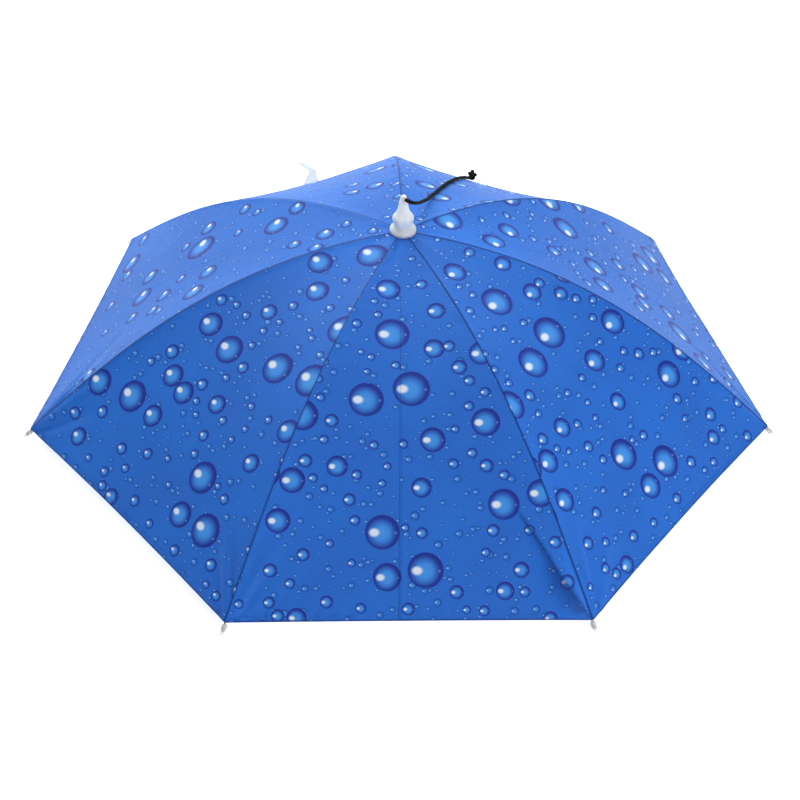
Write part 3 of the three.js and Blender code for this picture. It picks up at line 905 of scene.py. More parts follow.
# The sharp fold at the front panel's right corner. Points of its crest in the flat cloth: across
# and down, then its height there and how far it falls to the left and to the right, all in mm
CREST_PANEL = 0
CREST = [
    (97, 298, 0.0, 2.0, 8.0),
    (106, 313, 2.2, 2.4, 9.0),
    (114, 325, 3.8, 3.2, 11.0),
    (127, 345, 6.6, 5.0, 13.0),
    (134, 358, 8.8, 8.0, 13.0),
    (140, 367, 10.4, 11.0, 12.0),
    (151, 383, 11.2, 11.5, 10.0),
    (159, 394, 8.4, 8.5, 6.0),
    (166, 403, 1.0, 4.0, 4.0),
]
# The painted shade line beside the crest: how far off it lies, its width, and the height it is full
# at
CREST_SHADE_LINE = (0.6 * MM, 1.3 * MM, 3 * MM)
# The painted shade in the hollow to its left: its depth, its width as a share of the fall, and the
# same height
CREST_HOLLOW_SHADE = (0.82, 1.1, 9 * MM)

# Profiles in mm: how far in from the edge, and how high over the panel's face. The allowance and
# the turned-under hem are listed from their free edge. Both allowances of a seam are pressed
# under the panel on its right, which stands a little higher for it.
SEAM_UNDER = [(5.0, -1.15), (2.6, -1.15), (1.0, -1.1), (0.5, -0.9), (0.06, -0.6)]
SEAM_RAISED = [
    (0.06, -0.2), (0.4, 0.16), (1.0, 0.32), (2.0, 0.38), (3.6, 0.3), (5.2, 0.1), (8.0, 0.0),
]
SEAM_FLAT = [
    (0.06, -0.3), (0.4, -0.16), (1.0, -0.06), (2.0, 0.04), (3.6, 0.06), (5.2, 0.02), (8.0, 0.0),
]
CREASE = [
    (-4.0, 0.0), (-2.8, -0.1), (-2.2, -0.34), (-1.6, 0.02), (1.2, 0.22), (1.9, 0.4), (2.5, 0.12),
    (4.0, 0.0),
]
CREASE_GROOVE = 2
HEM_FACE = [
    (8.0, 0.0), (6.6, 0.06), (5.9, 0.04), (5.3, -0.02), (4.7, 0.04), (3.2, 0.1), (1.6, 0.12),
    (0.7, 0.06), (0.26, -0.2),
]
HEM_UNDER = [(0.26, -0.55), (0.7, -0.78), (2.2, -0.84), (4.4, -0.84), (7.0, -0.84)]
# The hem's stitches: how far in they run, their thread's thickness and their pitch
HEM_STITCH = 5.3 * MM
HEM_THREAD = 0.32 * MM
HEM_PITCH = 2.7 * MM
# Thread that ties the cloth to a rib: places along the rib as shares of its arc, and its turns
TIE_PLACES = (0.58, 0.82)
TIE_TURNS = 3.5
# Radius of the hole in the cloth at the crown
CROWN_HOLE = 5.8 * MM
# Columns in half a panel and rows down to its hem, finer on the front panel for its sharp fold
FINE_GRID = (64, 150)
PLAIN_GRID = (36, 100)


def columns_between(places, seam, crease, count):
    """The columns between a seam and the crease, closer together near the seam."""
    made = []
    for column in range(1, count):
        share = column / count
        made.append(seam + (crease - seam) * share * (0.65 + 0.35 * share))
    places.extend(made if seam[-1] < crease[-1] else reversed(made))


def panel_columns(half_width, taper, crease, sharpness, count):
    """Places across each row in metres from the panel's left seam, and heights over its face."""
    squeeze = np.minimum(1.0, half_width / (16 * MM))
    flat = np.zeros_like(half_width)
    under = [((0.06 + (inset - 0.06) * taper) * MM * squeeze,
              (-0.45 + (height + 0.45) * taper) * MM * squeeze) for inset, height in SEAM_UNDER]
    left = under + [(inset * MM * squeeze, height * MM * squeeze) for inset, height in SEAM_RAISED]
    right = under + [(inset * MM * squeeze, height * MM * squeeze) for inset, height in SEAM_FLAT]
    fold = [(2 * half_width * crease + offset * MM * squeeze, height * MM * sharpness)
            for offset, height in CREASE]
    right = [(2 * half_width - place, height) for place, height in reversed(right)]
    places = [place for place, _ in left]
    columns_between(places, left[-1][0], fold[0][0], count)
    first = len(places)
    places += [place for place, _ in fold]
    columns_between(places, right[0][0], fold[-1][0], count)
    second = len(places)
    places += [place for place, _ in right]
    heights = [flat] * len(places)
    heights[: len(left)] = [height for _, height in left]
    heights[first : first + len(fold)] = [height for _, height in fold]
    heights[second:] = [height for _, height in right]
    return np.stack(places, axis=1), np.stack(heights, axis=1), first + CREASE_GROOVE


def panel_rows(curve, hole_share, count):
    """Shares of the rib's arc for each row, and heights over the face, down to the hem."""
    last = 1 - HEM_FACE[0][0] * MM / curve.length
    shares = list(hole_share + (last - hole_share) * np.linspace(0, 1, count))[:-1]
    heights = [0.0] * len(shares)
    for inset, height in HEM_FACE + HEM_UNDER:
        shares.append(1 - inset * MM / curve.length)
        heights.append(height * MM)
    return np.array(shares), np.array(heights)


def fold_height(across, down, fold, rises_and_falls):
    """Height in metres that a fold adds to points of the flat cloth."""
    start, end, height, left, right = fold
    start, end = np.array(start) * MM, np.array(end) * MM
    way = end - start
    reach = np.linalg.norm(way)
    way = way / reach
    along = ((across - start[0]) * way[0] + (down - start[1]) * way[1]) / reach
    aside = (down - start[1]) * way[0] - (across - start[0]) * way[1]
    if rises_and_falls:
        strength = smooth_steps(along, 0.0, 0.3) * smooth_steps(along, 1.0, 0.45)
        narrowing = 0.5 + 0.7 * np.clip(along, 0, 1)
    else:
        aside = aside - 2.0 * MM * np.sin(along * 5.0)
        strength = smooth_steps(along, 0.0, 0.7) * smooth_steps(along, 1.04, 0.97)
        narrowing = 1.25 - 0.75 * np.clip(along, 0, 1)
    spread = np.where(aside > 0, left, right) * MM * narrowing
    return height * MM * strength * np.exp(-((aside / spread) ** 2))


def crest_height(across, down):
    """Height in metres that the sharp fold adds, and the painted shade along its crease and in the
    hollow beside it.
    """
    nearest = np.full(across.shape, np.inf)
    lift, shade = np.zeros_like(across), np.zeros_like(across)
    for here, there in zip(CREST[:-1], CREST[1:]):
        here, there = np.array(here) * MM, np.array(there) * MM
        way = there[:2] - here[:2]
        reach = np.linalg.norm(way)
        way = way / reach
        along = ((across - here[0]) * way[0] + (down - here[1]) * way[1]) / reach
        along = np.clip(along, 0, 1)
        x = across - here[0] - along * way[0] * reach
        y = down - here[1] - along * way[1] * reach
        gap = np.hypot(x, y)
        to_right = x * way[1] - y * way[0] > 0
        height, left, right = (here[i] + (there[i] - here[i]) * along for i in (2, 3, 4))
        away = np.where(to_right, (gap / right) ** 2, (gap / left) ** 1.25)
        made = height * np.exp(-away)
        # Painted shade: a dark line along the crest and a darker hollow to its left, where the
        # fold's shadow falls
        off, width, full = CREST_SHADE_LINE
        line = np.exp(-(((gap - off) / width) ** 2)) * np.clip(height / full, 0, 1)
        depth, width, full = CREST_HOLLOW_SHADE
        hollow = depth * np.exp(-((gap / (width * left)) ** 2)) * np.clip(height / full, 0, 1)
        dark = np.where(to_right, 0.4 * line, np.maximum(line, hollow))
        closer = gap < nearest
        lift = np.where(closer, made, lift)
        shade = np.where(closer, dark, shade)
        nearest = np.minimum(nearest, gap)
    return lift, shade


def gathered(distance, from_edge, seed):
    """Small puckers where a row of stitches draws the cloth in, along a seam or hem."""
    chance = random.Random(seed)
    total = np.zeros_like(distance)
    for _ in range(5):
        length = chance.uniform(9, 34) * MM
        total += np.sin(distance * 2 * math.pi / length + chance.uniform(0, 6.3))
    return 0.13 * MM * total * np.exp(-(((from_edge - 6 * MM) / (5 * MM)) ** 2))


def panel_lift(panel, flat, places, halves, rim):
    """Height in metres of a panel's folds, puckers and unevenness at points of its flat cloth."""
    across, down = flat[..., 0], flat[..., 1]
    lift = np.zeros_like(across)
    for fold in CORNER_FOLDS[panel]:
        lift += fold_height(across, down, fold, False)
    for fold in CROWN_FOLDS[panel]:
        lift += fold_height(across, down, fold, True)
    if panel == CREST_PANEL:
        lift += crest_height(across, down)[0]
    other = 2 * halves[:, None] - places
    lift += gathered(down, places, panel * 3 + 1)
    lift += gathered(down, other, panel * 3 + 2)
    lift += gathered(across, rim[:, None] + 0 * across, panel * 3 + 3)
    inside = np.clip(np.minimum(places, other) / (7 * MM), 0, 1)
    return lift * inside * inside * (3 - 2 * inside)


def rippled(points, panel, amount):
    """Gentle unevenness of stretched cloth at each point, from a seeded noise."""
    lift = np.empty(len(points))
    for row, point in enumerate(points):
        place = Vector(point) * 11.0 + Vector((panel * 7.3, 0.0, 0.0))
        lift[row] = noise.noise(place) + 0.35 * noise.noise(place * 2.7)
    return lift * amount


def drop_layers(drops):
    """The drops sorted into layers, so that near neighbours are in different ones."""
    layers = [[] for _ in DROP_MAPS]
    for drop in sorted(drops, key=lambda one: -one[2]):
        gaps = []
        for layer in layers:
            near = [math.dist(drop[:2], other[:2]) - drop[2] - other[2] for other in layer]
            gaps.append(min([*near, 9 * MM]))
        layers[gaps.index(max(gaps))].append(drop)
    return layers


def local_coordinates(corners, drops):
    """For faces of three corners, the corners' places in the nearest drop's own scale."""
    middles = corners.mean(axis=1)
    table = np.array(drops)
    apart = np.linalg.norm(middles[:, None] - table[None, :, :2], axis=2) - table[None, :, 2]
    nearest = table[apart.argmin(axis=1)]
    local = (corners - nearest[:, None, :2]) / nearest[:, None, 2:]
    local[apart.min(axis=1) > 10 * MM] = NO_DROP
    return local


def write_map(mesh, name, values):
    layer = mesh.uv_layers.new(name=name, do_init=False)
    layer.data.foreach_set("uv", np.asarray(values, np.float32).ravel())


def sheet_faces(rows, columns, layer):
    """Triangles over a grid of points, its second layer turned over."""
    index = layer * rows * columns + np.arange(rows * columns).reshape(rows, columns)
    one, two = index[:-1, :-1].ravel(), index[1:, :-1].ravel()
    three, four = index[1:, 1:].ravel(), index[:-1, 1:].ravel()
    faces = np.concatenate([np.stack([one, two, three], 1), np.stack([one, three, four], 1)])
    return faces[:, ::-1] if layer else faces


def rim_faces(rows, columns):
    """Triangles that close the two layers of a sheet all round."""
    index = np.arange(rows * columns).reshape(rows, columns)
    walk = np.concatenate([index[0, :-1], index[:-1, -1], index[-1, :0:-1], index[:0:-1, 0]])
    after = np.roll(walk, -1)
    below, below_after = walk + rows * columns, after + rows * columns
    return np.concatenate([
        np.stack([walk, after, below_after], 1), np.stack([walk, below_after, below], 1)
    ])


def grid_normals(grid):
    along = np.gradient(grid, axis=0)
    over = np.gradient(grid, axis=1)
    return unit(np.cross(along, over))


def two_faced(grid, thickness):
    """The outer and inner points of a cloth whose middle is a grid of points."""
    square = grid_normals(grid) * (thickness / 2)
    return np.concatenate([(grid + square).reshape(-1, 3), (grid - square).reshape(-1, 3)])


def build_panel(canopy, curve, panel):
    """One gore of the canopy with its turned seams and hem."""
    hole = curve.share_at(CROWN_HOLE / FLAT_SHARE)
    half_columns, face_rows = FINE_GRID if panel == CREST_PANEL else PLAIN_GRID
    shares, row_heights = panel_rows(curve, hole, face_rows)
    rim = (1 - shares) * curve.length
    halves = curve.half_chord(shares)
    cut = PANEL_CUTS[panel]
    # The seams flatten towards the hem, and the crease starts some way down from the crown
    taper = smooth_steps(rim, 6 * MM, 22 * MM)
    fade = cut["sharpness"] * smooth_steps(rim, curve.length - 60 * MM, curve.length - 140 * MM)
    places, heights, groove = panel_columns(halves, taper, cut["crease"], fade, half_columns)
    heights = heights + row_heights[:, None]
    across = places / (2 * halves[:, None])
    grid_shares = np.repeat(shares[:, None], across.shape[1], axis=1)
    grid = curve.cloth(panel, grid_shares, across, canopy.sag, cut["pull"])
    flat = np.stack([places - halves[:, None], curve.down_panel(grid_shares)], axis=-1)
    amount = cut.get("uneven", 0.8) * MM
    ripple = rippled(grid.reshape(-1, 3), panel, amount).reshape(across.shape)
    edge = np.clip(np.minimum(places, 2 * halves[:, None] - places) / (14 * MM), 0, 1)
    lift = heights + panel_lift(panel, flat, places, halves, rim) + ripple * edge
    square = curve.square_to_cloth(panel, grid_shares, across, canopy.sag, cut["pull"])
    grid = grid + square * (lift - canopy.thickness / 2)[..., None]
    rows, columns = across.shape
    outer = sheet_faces(rows, columns, 0)
    inner = sheet_faces(rows, columns, 1)
    faces = np.concatenate([outer, inner, rim_faces(rows, columns)])
    points = two_faced(grid, canopy.thickness)
    mesh = mesh_of(f"canopy_panel_{panel + 1}", points, faces.tolist(), 60)
    offset = np.array([cut["across"], cut["down"]]) * MM
    chart = np.concatenate([flat.reshape(-1, 2)] * 2) - offset
    write_map(mesh, "print", chart[faces])
    drops = [(x * MM, y * MM, radius * MM) for x, y, radius in PRINT_DROPS]
    for name, layer in zip(DROP_MAPS, drop_layers(drops)):
        local = np.full((len(faces), 3, 2), NO_DROP)
        local[: len(outer)] = local_coordinates(chart[outer], layer)
        write_map(mesh, name, local)
    slots = np.zeros(len(faces), np.int32)
    slots[len(outer) : len(outer) + len(inner)] = 1
    mesh.polygons.foreach_set("material_index", slots)
    # Painted shade along the seams and the hem's edge, in the pressed crease's groove and beside
    # the sharp fold
    line = edge_shade(places, halves, rim, cut.get("left_line", 0.7 * MM))
    line[:, groove] = np.maximum(line[:, groove], 0.55 * fade)
    if panel == CREST_PANEL:
        line = np.maximum(line, 0.9 * crest_height(flat[..., 0], flat[..., 1])[1])
    attribute = mesh.attributes.new("painted_seam_and_fold_shade", "FLOAT", "POINT")
    attribute.data.foreach_set("value", np.concatenate([line.ravel()] * 2).astype(np.float32))
    return mesh, flat_size(curve)


def edge_shade(places, halves, rim, left_line):
    """How near each point is to a seam or to the hem's edge, for the painted shade line along them.
    """
    from_left, from_right = places, 2 * halves[:, None] - places
    line = np.maximum(
        smooth_steps(from_left, left_line, 0.2 * MM), smooth_steps(from_right, 1.8 * MM, 0.6 * MM)
    )
    return np.maximum(line, smooth_steps(rim, 2.2 * MM, 0.8 * MM)[:, None])


def flat_size(curve):
    """Width, length and area of a gore as it was cut, hem and seam allowances with it."""
    under = SEAM_UNDER[0][0] * MM
    hem = HEM_UNDER[-1][0] * MM
    down = curve.down_panel(np.linspace(0, 1, 200))
    widths = 2 * curve.half_chord(np.linspace(0, 1, 200)) + 2 * under
    area = float(((widths[1:] + widths[:-1]) / 2 * np.diff(down)).sum()) + widths[-1] * hem
    return float(widths[-1]), float(down[-1] + hem), area


def stitch_row(line, out, thread, pitch):
    """Short stitches along a line, each an arch of thread that stands out of the cloth."""
    line = evenly(line, pitch)
    section = circle(thread / 2, 6)
    parts = []
    for here, there in zip(line[:-1], line[1:]):
        gap = (there - here) * 0.14
        start, end = here + gap, there - gap
        middle = (start + end) / 2 + out * thread * 0.35
        stitch = [
            start - out * thread * 0.6,
            start + out * thread * 0.1,
            middle,
            end + out * thread * 0.1,
            end - out * thread * 0.6,
        ]
        parts.append(tube(np.array(stitch), section))
    return parts


class HAT_OT_stage(bpy.types.Operator):
    """Make the floor, the studio lights and the camera"""

    bl_idname = "hat.stage"
    bl_label = "Stage"

    def execute(self, context):
        view = context.scene.hat_view
        self.add_camera(view)
        self.add_floor(view)
        self.add_lights()
        world = bpy.data.worlds.new("Studio")
        world.use_nodes = True
        background = world.node_tree.nodes["Background"]
        background.inputs["Color"].default_value = (0.93, 0.95, 1.0, 1.0)
        background.inputs["Strength"].default_value = 0.05
        context.scene.world = world
        context.scene.view_settings.view_transform = "Standard"
        return {"FINISHED"}

    def add_camera(self, view):
        level, rise = math.cos(view.elevation), math.sin(view.elevation)
        back = Vector((math.sin(view.azimuth) * level, -math.cos(view.azimuth) * level, rise))
        right = Vector((math.cos(view.azimuth), math.sin(view.azimuth), 0))
        upward = back.cross(right)
        lean, stand = math.sin(view.roll), math.cos(view.roll)
        picture_right = right * stand + upward * lean
        picture_up = upward * stand - right * lean
        spot = Vector(CROWN) + back * view.distance
        spot += picture_right * view.aside + picture_up * view.above
        turn = Matrix((picture_right, picture_up, back)).transposed()
        data = bpy.data.cameras.new("Camera")
        data.sensor_width = 36.0
        data.lens = view.lens
        data.clip_start = 0.05
        camera = bpy.data.objects.new("Camera", data)
        camera.matrix_world = Matrix.Translation(spot) @ turn.to_4x4()
        bpy.context.scene.collection.objects.link(camera)
        bpy.context.scene.camera = camera

    def add_floor(self, view):
        far = 6.0
        corners = [(-far, -far, 0), (far, -far, 0), (far, far, 0), (-far, far, 0)]
        mesh = bpy.data.meshes.new("floor")
        mesh.from_pydata(corners, [], [(0, 1, 2, 3)])
        shader = Shader("floor")
        speck = shader.noise(shader.place(), 40.0, 3.0)
        colour = shader.blend(speck, mixed(view.floor, (0.8, 0.8, 0.82), 0.2), opaque(view.floor))
        paper = shader.surface(
            Base_Color=colour,
            Roughness=0.9,
            Emission_Color=(1.0, 1.0, 1.0, 1.0),
            Emission_Strength=0.72,
        )
        add_object("floor", mesh, paper)

    def add_lights(self):
        # Name, place, size, watts and tint of each soft light
        lights = [
            ("Key", (-0.3, 2.5, 1.5), 1.6, 33.0, (0.93, 1.0, 0.92)),
            ("Top", (-0.2, 0.3, 2.6), 1.2, 33.0, (0.92, 1.0, 0.98)),
            ("Front", (1.3, -2.0, 1.3), 0.9, 28.0, (1.0, 0.98, 0.96)),
            ("Back right", (1.7, 2.0, 1.6), 0.9, 27.0, (0.92, 1.0, 0.92)),
            ("Back left", (-1.7, 2.0, 1.6), 0.9, 38.0, (0.92, 1.0, 0.92)),
        ]
        for name, place, size, watts, tint in lights:
            data = bpy.data.lights.new(name, "AREA")
            data.size = size
            data.energy = watts
            data.color = tint
            lamp = bpy.data.objects.new(name, data)
            lamp.location = place
            aim = Vector((0, 0, 0.1)) - Vector(place)
            lamp.rotation_mode = "QUATERNION"
            lamp.rotation_quaternion = aim.to_track_quat("-Z", "Y")
            bpy.context.scene.collection.objects.link(lamp)


# Pull cord route in mm: x, y from the hub's axis and z from the crown. It was chosen in plan and
# in height over the cloth, and z was worked out from these.
CORD_ROUTE = [
    (0.9, -0.8, 37.6),
    (5.0, -4.2, 37.6),
    (9.2, -3.6, 35.4),
    (12.2, 3.0, 30.6),
    (14.9, 13.4, 23.6),
    (18.2, 27.0, 14.9),
    (22.6, 44.0, 5.0),
    (27.4, 62.0, -5.0),
    (32.6, 79.0, -12.5),
    (38.2, 95.0, -18.5),
    (44.0, 111.0, -24.5),
    (49.8, 127.0, -31.1),
    (55.6, 143.0, -38.8),
    (61.2, 159.0, -47.1),
    (66.6, 175.0, -56.3),
    (71.8, 190.0, -65.8),
    (77.0, 204.0, -75.3),
    (82.4, 216.0, -84.3),
]


def braided_section(line, radius, sides=36):
    """Rings of a braided cord: strands that wind both ways and leave pits where they cross."""
    reach = np.concatenate([[0], np.cumsum(np.linalg.norm(np.diff(line, axis=0), axis=1))])
    turns = np.arange(sides) * 2 * math.pi / sides
    wind = reach[:, None] * (2 * math.pi / (10 * MM))
    one = np.abs(np.sin(3 * turns[None] + wind))
    other = np.abs(np.sin(3 * turns[None] - wind))
    radii = radius * (0.84 + 0.2 * np.maximum(one, other) ** 1.5)
    return np.stack([radii * np.cos(turns), radii * np.sin(turns)], axis=-1)


class HAT_OT_pull_cord(bpy.types.Operator):
    """Make the pull cord that lies on the cloth, and the knot at its end"""

    bl_idname = "hat.pull_cord"
    bl_label = "Pull cord"

    def execute(self, context):
        trim = context.scene.hat_trim
        finish = material("braided_cord", braided_cord, trim)
        line = evenly(spline(np.array(CORD_ROUTE) * MM, 12), 0.5 * MM)
        skin = tube(line, braided_section(line, trim.cord / 2))
        cord = add_object("pull_cord_braid", mesh_of("pull_cord", *skin, 80), finish)
        settle(cord, "cord_braid", "pull_cord")
        knot_line = self.knot_line(line)
        skin = tube(knot_line, braided_section(knot_line, trim.cord / 2 + 0.25 * MM))
        knot = add_object("cord_knot_tied", mesh_of("cord_knot", *skin, 80), finish)
        settle(knot, "cord_braid", "cord_knot")
        return {"FINISHED"}

    def knot_line(self, line):
        """An overhand knot: a trefoil whose outer loop is opened into cord and tail."""
        along = unit(line[-1] - line[-8])
        lift = unit(UP - along * along[2])
        aside = np.cross(along, lift)
        turns = np.linspace(math.pi + 0.85, 3 * math.pi - 0.85, 90)
        x = np.sin(turns) + 2 * np.sin(2 * turns)
        y = np.cos(turns) - 2 * np.cos(2 * turns)
        z = -np.sin(3 * turns)
        loop = np.stack([x * 1.5, y * 1.6, z * 3.0], axis=1)
        # The opened ends, in mm along the cord, up from the knot's middle and aside
        tail = [(0.4, 7.6, -1.8), (0.9, 5.4, -2.2), (1.8, 2.4, -2.7)]
        lead = [(-2.4, -2.2, -0.6), (-4.4, -2.9, -0.4), (-6.0, -3.1, 0.0)]
        whole = np.concatenate([tail, loop, lead]) * MM
        middle = line[-1] + along * 5.6 * MM + lift * 1.7 * MM
        points = middle + whole[:, :1] * along + whole[:, 1:2] * lift + whole[:, 2:] * aside
        return evenly(spline(points[::3], 6), 0.45 * MM)


class HAT_OT_canopy(bpy.types.Operator):
    """Make the seven printed panels with their seams, hems and folds"""

    bl_idname = "hat.canopy"
    bl_label = "Canopy"

    def execute(self, context):
        canopy = context.scene.hat_canopy
        curve = RibCurve(canopy)
        outer = material("canopy_print", print_material, canopy)
        inner = material("canopy_coating", coating_material, canopy)
        for panel in range(RIBS):
            mesh, (width, length, area) = build_panel(canopy, curve, panel)
            piece = add_object(f"canopy_panel_{panel + 1}_cloth", mesh, outer, inner)
            settle(piece, "canopy_cloth", f"canopy_panel_{panel + 1}")
        return {"FINISHED"}


class HAT_OT_stitching(bpy.types.Operator):
    """Make the hem's stitches and the threads that tie the cloth to the ribs"""

    bl_idname = "hat.stitching"
    bl_label = "Stitching"

    def execute(self, context):
        canopy = context.scene.hat_canopy
        curve = RibCurve(canopy)
        blue = mixed(canopy.ground, (0.01, 0.04, 0.25), 0.2)
        thread = material("hem_thread", thread_material, "hem_thread", blue)
        across = np.linspace(0.012, 0.988, 60)
        share = 1 - HEM_STITCH / curve.length
        slope = math.atan(math.tan(float(curve.slope(1.0))) / FLAT_SHARE)
        parts = []
        for panel in range(RIBS):
            points = curve.cloth(panel, share, across, canopy.sag, PANEL_CUTS[panel]["pull"])
            square = face_up(seam_turn(panel + 0.5), slope)
            parts += stitch_row(points - square * 0.02 * MM, square, HEM_THREAD, HEM_PITCH)
        piece = add_object("hem_stitches", mesh_of("hem_stitches", *joined(parts), 80), thread)
        settle(piece, "canopy_cloth")
        self.add_ties(context, curve, thread)
        return {"FINISHED"}

    def add_ties(self, context, curve, thread):
        wire = context.scene.hat_hardware.wire
        parts = []
        for seam in range(RIBS):
            for share in TIE_PLACES:
                middle = curve.rib(seam, share, wire)
                slope = float(curve.slope(share))
                along = down_slope(seam_turn(seam), slope)
                square = face_up(seam_turn(seam), slope)
                aside = np.cross(along, square)
                turns = np.linspace(0, 2 * math.pi * TIE_TURNS, 90)
                reach = wire + 0.25 * MM
                coil = (
                    middle
                    + np.outer(np.cos(turns), square) * (reach + 0.1 * MM)
                    + np.outer(np.sin(turns), aside) * reach
                    + np.outer(turns / (2 * math.pi) - TIE_TURNS / 2, along) * 0.5 * MM
                )
                parts.append(tube(coil, circle(0.2 * MM, 6)))
        piece = add_object("rib_ties", mesh_of("rib_ties", *joined(parts), 80), thread)
        settle(piece, "canopy_cloth")


# Finial outline: up as a share of its height, out as a share of its flange's radius
FINIAL_OUTLINE = [
    (0.0, 0.98), (0.03, 0.99), (0.07, 0.965), (0.11, 0.87), (0.145, 0.76), (0.18, 0.71),
    (0.22, 0.7), (0.27, 0.72), (0.33, 0.75), (0.39, 0.755), (0.435, 0.71), (0.475, 0.62),
    (0.51, 0.54), (0.56, 0.47), (0.62, 0.415), (0.7, 0.37), (0.78, 0.335), (0.83, 0.31),
    (0.86, 0.28), (0.9, 0.25), (0.94, 0.225), (0.972, 0.18), (0.99, 0.1), (1.0, 0.0),
]


class HAT_OT_finial(bpy.types.Operator):
    """Make the finial on the crown, with the hole that the cord comes out of"""

    bl_idname = "hat.finial"
    bl_label = "Finial"

    def execute(self, context):
        canopy, hardware = context.scene.hat_canopy, context.scene.hat_hardware
        curve = RibCurve(canopy)
        radius = hardware.finial_radius
        foot = CLEARANCE - float(curve.drop(curve.share_at(radius)))
        spigot, low = 5.5 * MM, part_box("finial")[0].z - CROWN[2]
        outline = [(0.0, low), (spigot, low), (spigot, foot), (radius * 0.985, foot)]
        waist = spline([(radius * out, FINIAL_HEIGHT * up, 0.0) for up, out in FINIAL_OUTLINE], 4)
        waist = [(x, max(y, foot + 0.4 * MM)) for x, y, _ in waist]
        outline += waist
        points, faces = turned(outline, 72, self.lobes)
        plastic = material("milky_plastic", milky_plastic, hardware)
        piece = add_object("finial_body", mesh_of("finial", points, faces), plastic)
        carved(piece, [self.hole(context)])
        settle(piece, "white_plastic", "finial")
        return {"FINISHED"}

    def lobes(self, turns, heights):
        """Six soft lobes round the bulb, as on a moulded grip."""
        share = heights / FINIAL_HEIGHT
        strength = smooth_steps(share, 0.16, 0.28) * smooth_steps(share, 0.62, 0.5)
        return 1 + 0.05 * strength * np.cos(6 * turns)

    def hole(self, context):
        """The body that cuts the hole, from the axis out towards the cord's first bend."""
        radius = context.scene.hat_trim.cord / 2 + CLEARANCE
        way = level_out(math.radians(50))
        start = UP * CORD_ROUTE[0][2] * MM
        line = np.linspace(start, start + way * 9 * MM, 4)
        return add_object("hole", mesh_of("hole", *tube(line, circle(radius, 24))))


class HAT_OT_hub(bpy.types.Operator):
    """Make the hub under the cloth, the shaft below it and the runner on the shaft"""

    bl_idname = "hat.hub"
    bl_label = "Hub and runner"

    def execute(self, context):
        hardware = context.scene.hat_hardware
        plastic = material("milky_plastic", milky_plastic, hardware)
        for node, wire in (("hub", hardware.wire), ("runner", hardware.stretcher_wire)):
            low, high = (corner.z - CROWN[2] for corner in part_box(node))
            radius = box_size(node).y / 2
            bore = box_size("shaft").x / 2 + CLEARANCE if node == "runner" else 0.0
            skin = turned(rounded_disc(radius, low, high, 0.8 * MM, bore), 64)
            piece = add_object(f"{node}_body", mesh_of(node, *skin), plastic)
            carved(piece, self.notches(radius, low, high, 2 * (wire + CLEARANCE)))
            settle(piece, "white_plastic", node)
        low, high = (corner.z - CROWN[2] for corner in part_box("shaft"))
        radius = box_size("shaft").x / 2
        skin = turned(rounded_disc(radius, low, high, 0.5 * MM), 48)
        shaft = add_object("shaft_body", mesh_of("shaft", *skin), plastic)
        settle(shaft, "white_plastic", "shaft")
        return {"FINISHED"}

    def notches(self, radius, low, high, width):
        """The bodies that cut a notch for each rib or stretcher."""
        cutters = []
        for seam in range(RIBS):
            out = level_out(seam_turn(seam))
            middle = out * radius + UP * (low + high) / 2
            line = [middle - out * NOTCH_DEPTH, middle, middle + out * NOTCH_DEPTH]
            block = tube(line, rounded_strip(2 * (high - low), width, 0.3 * MM))
            cutters.append(add_object("notch", mesh_of("notch", *block)))
        return cutters


TIP_SOCKET = 6 * MM
# The clip that joins rib and stretcher: its place as a share of the rib's arc, its thickness,
# and stations along it in mm from its middle, with its size there as a share
CLIP_PLACE = 0.36
CLIP_SIZE = 6 * MM
CLIP_STATIONS = [
    (-5, 0.82), (-4.6, 0.94), (-3.8, 1.0), (0, 1.0), (3.8, 1.0), (4.6, 0.94), (5, 0.82),
]


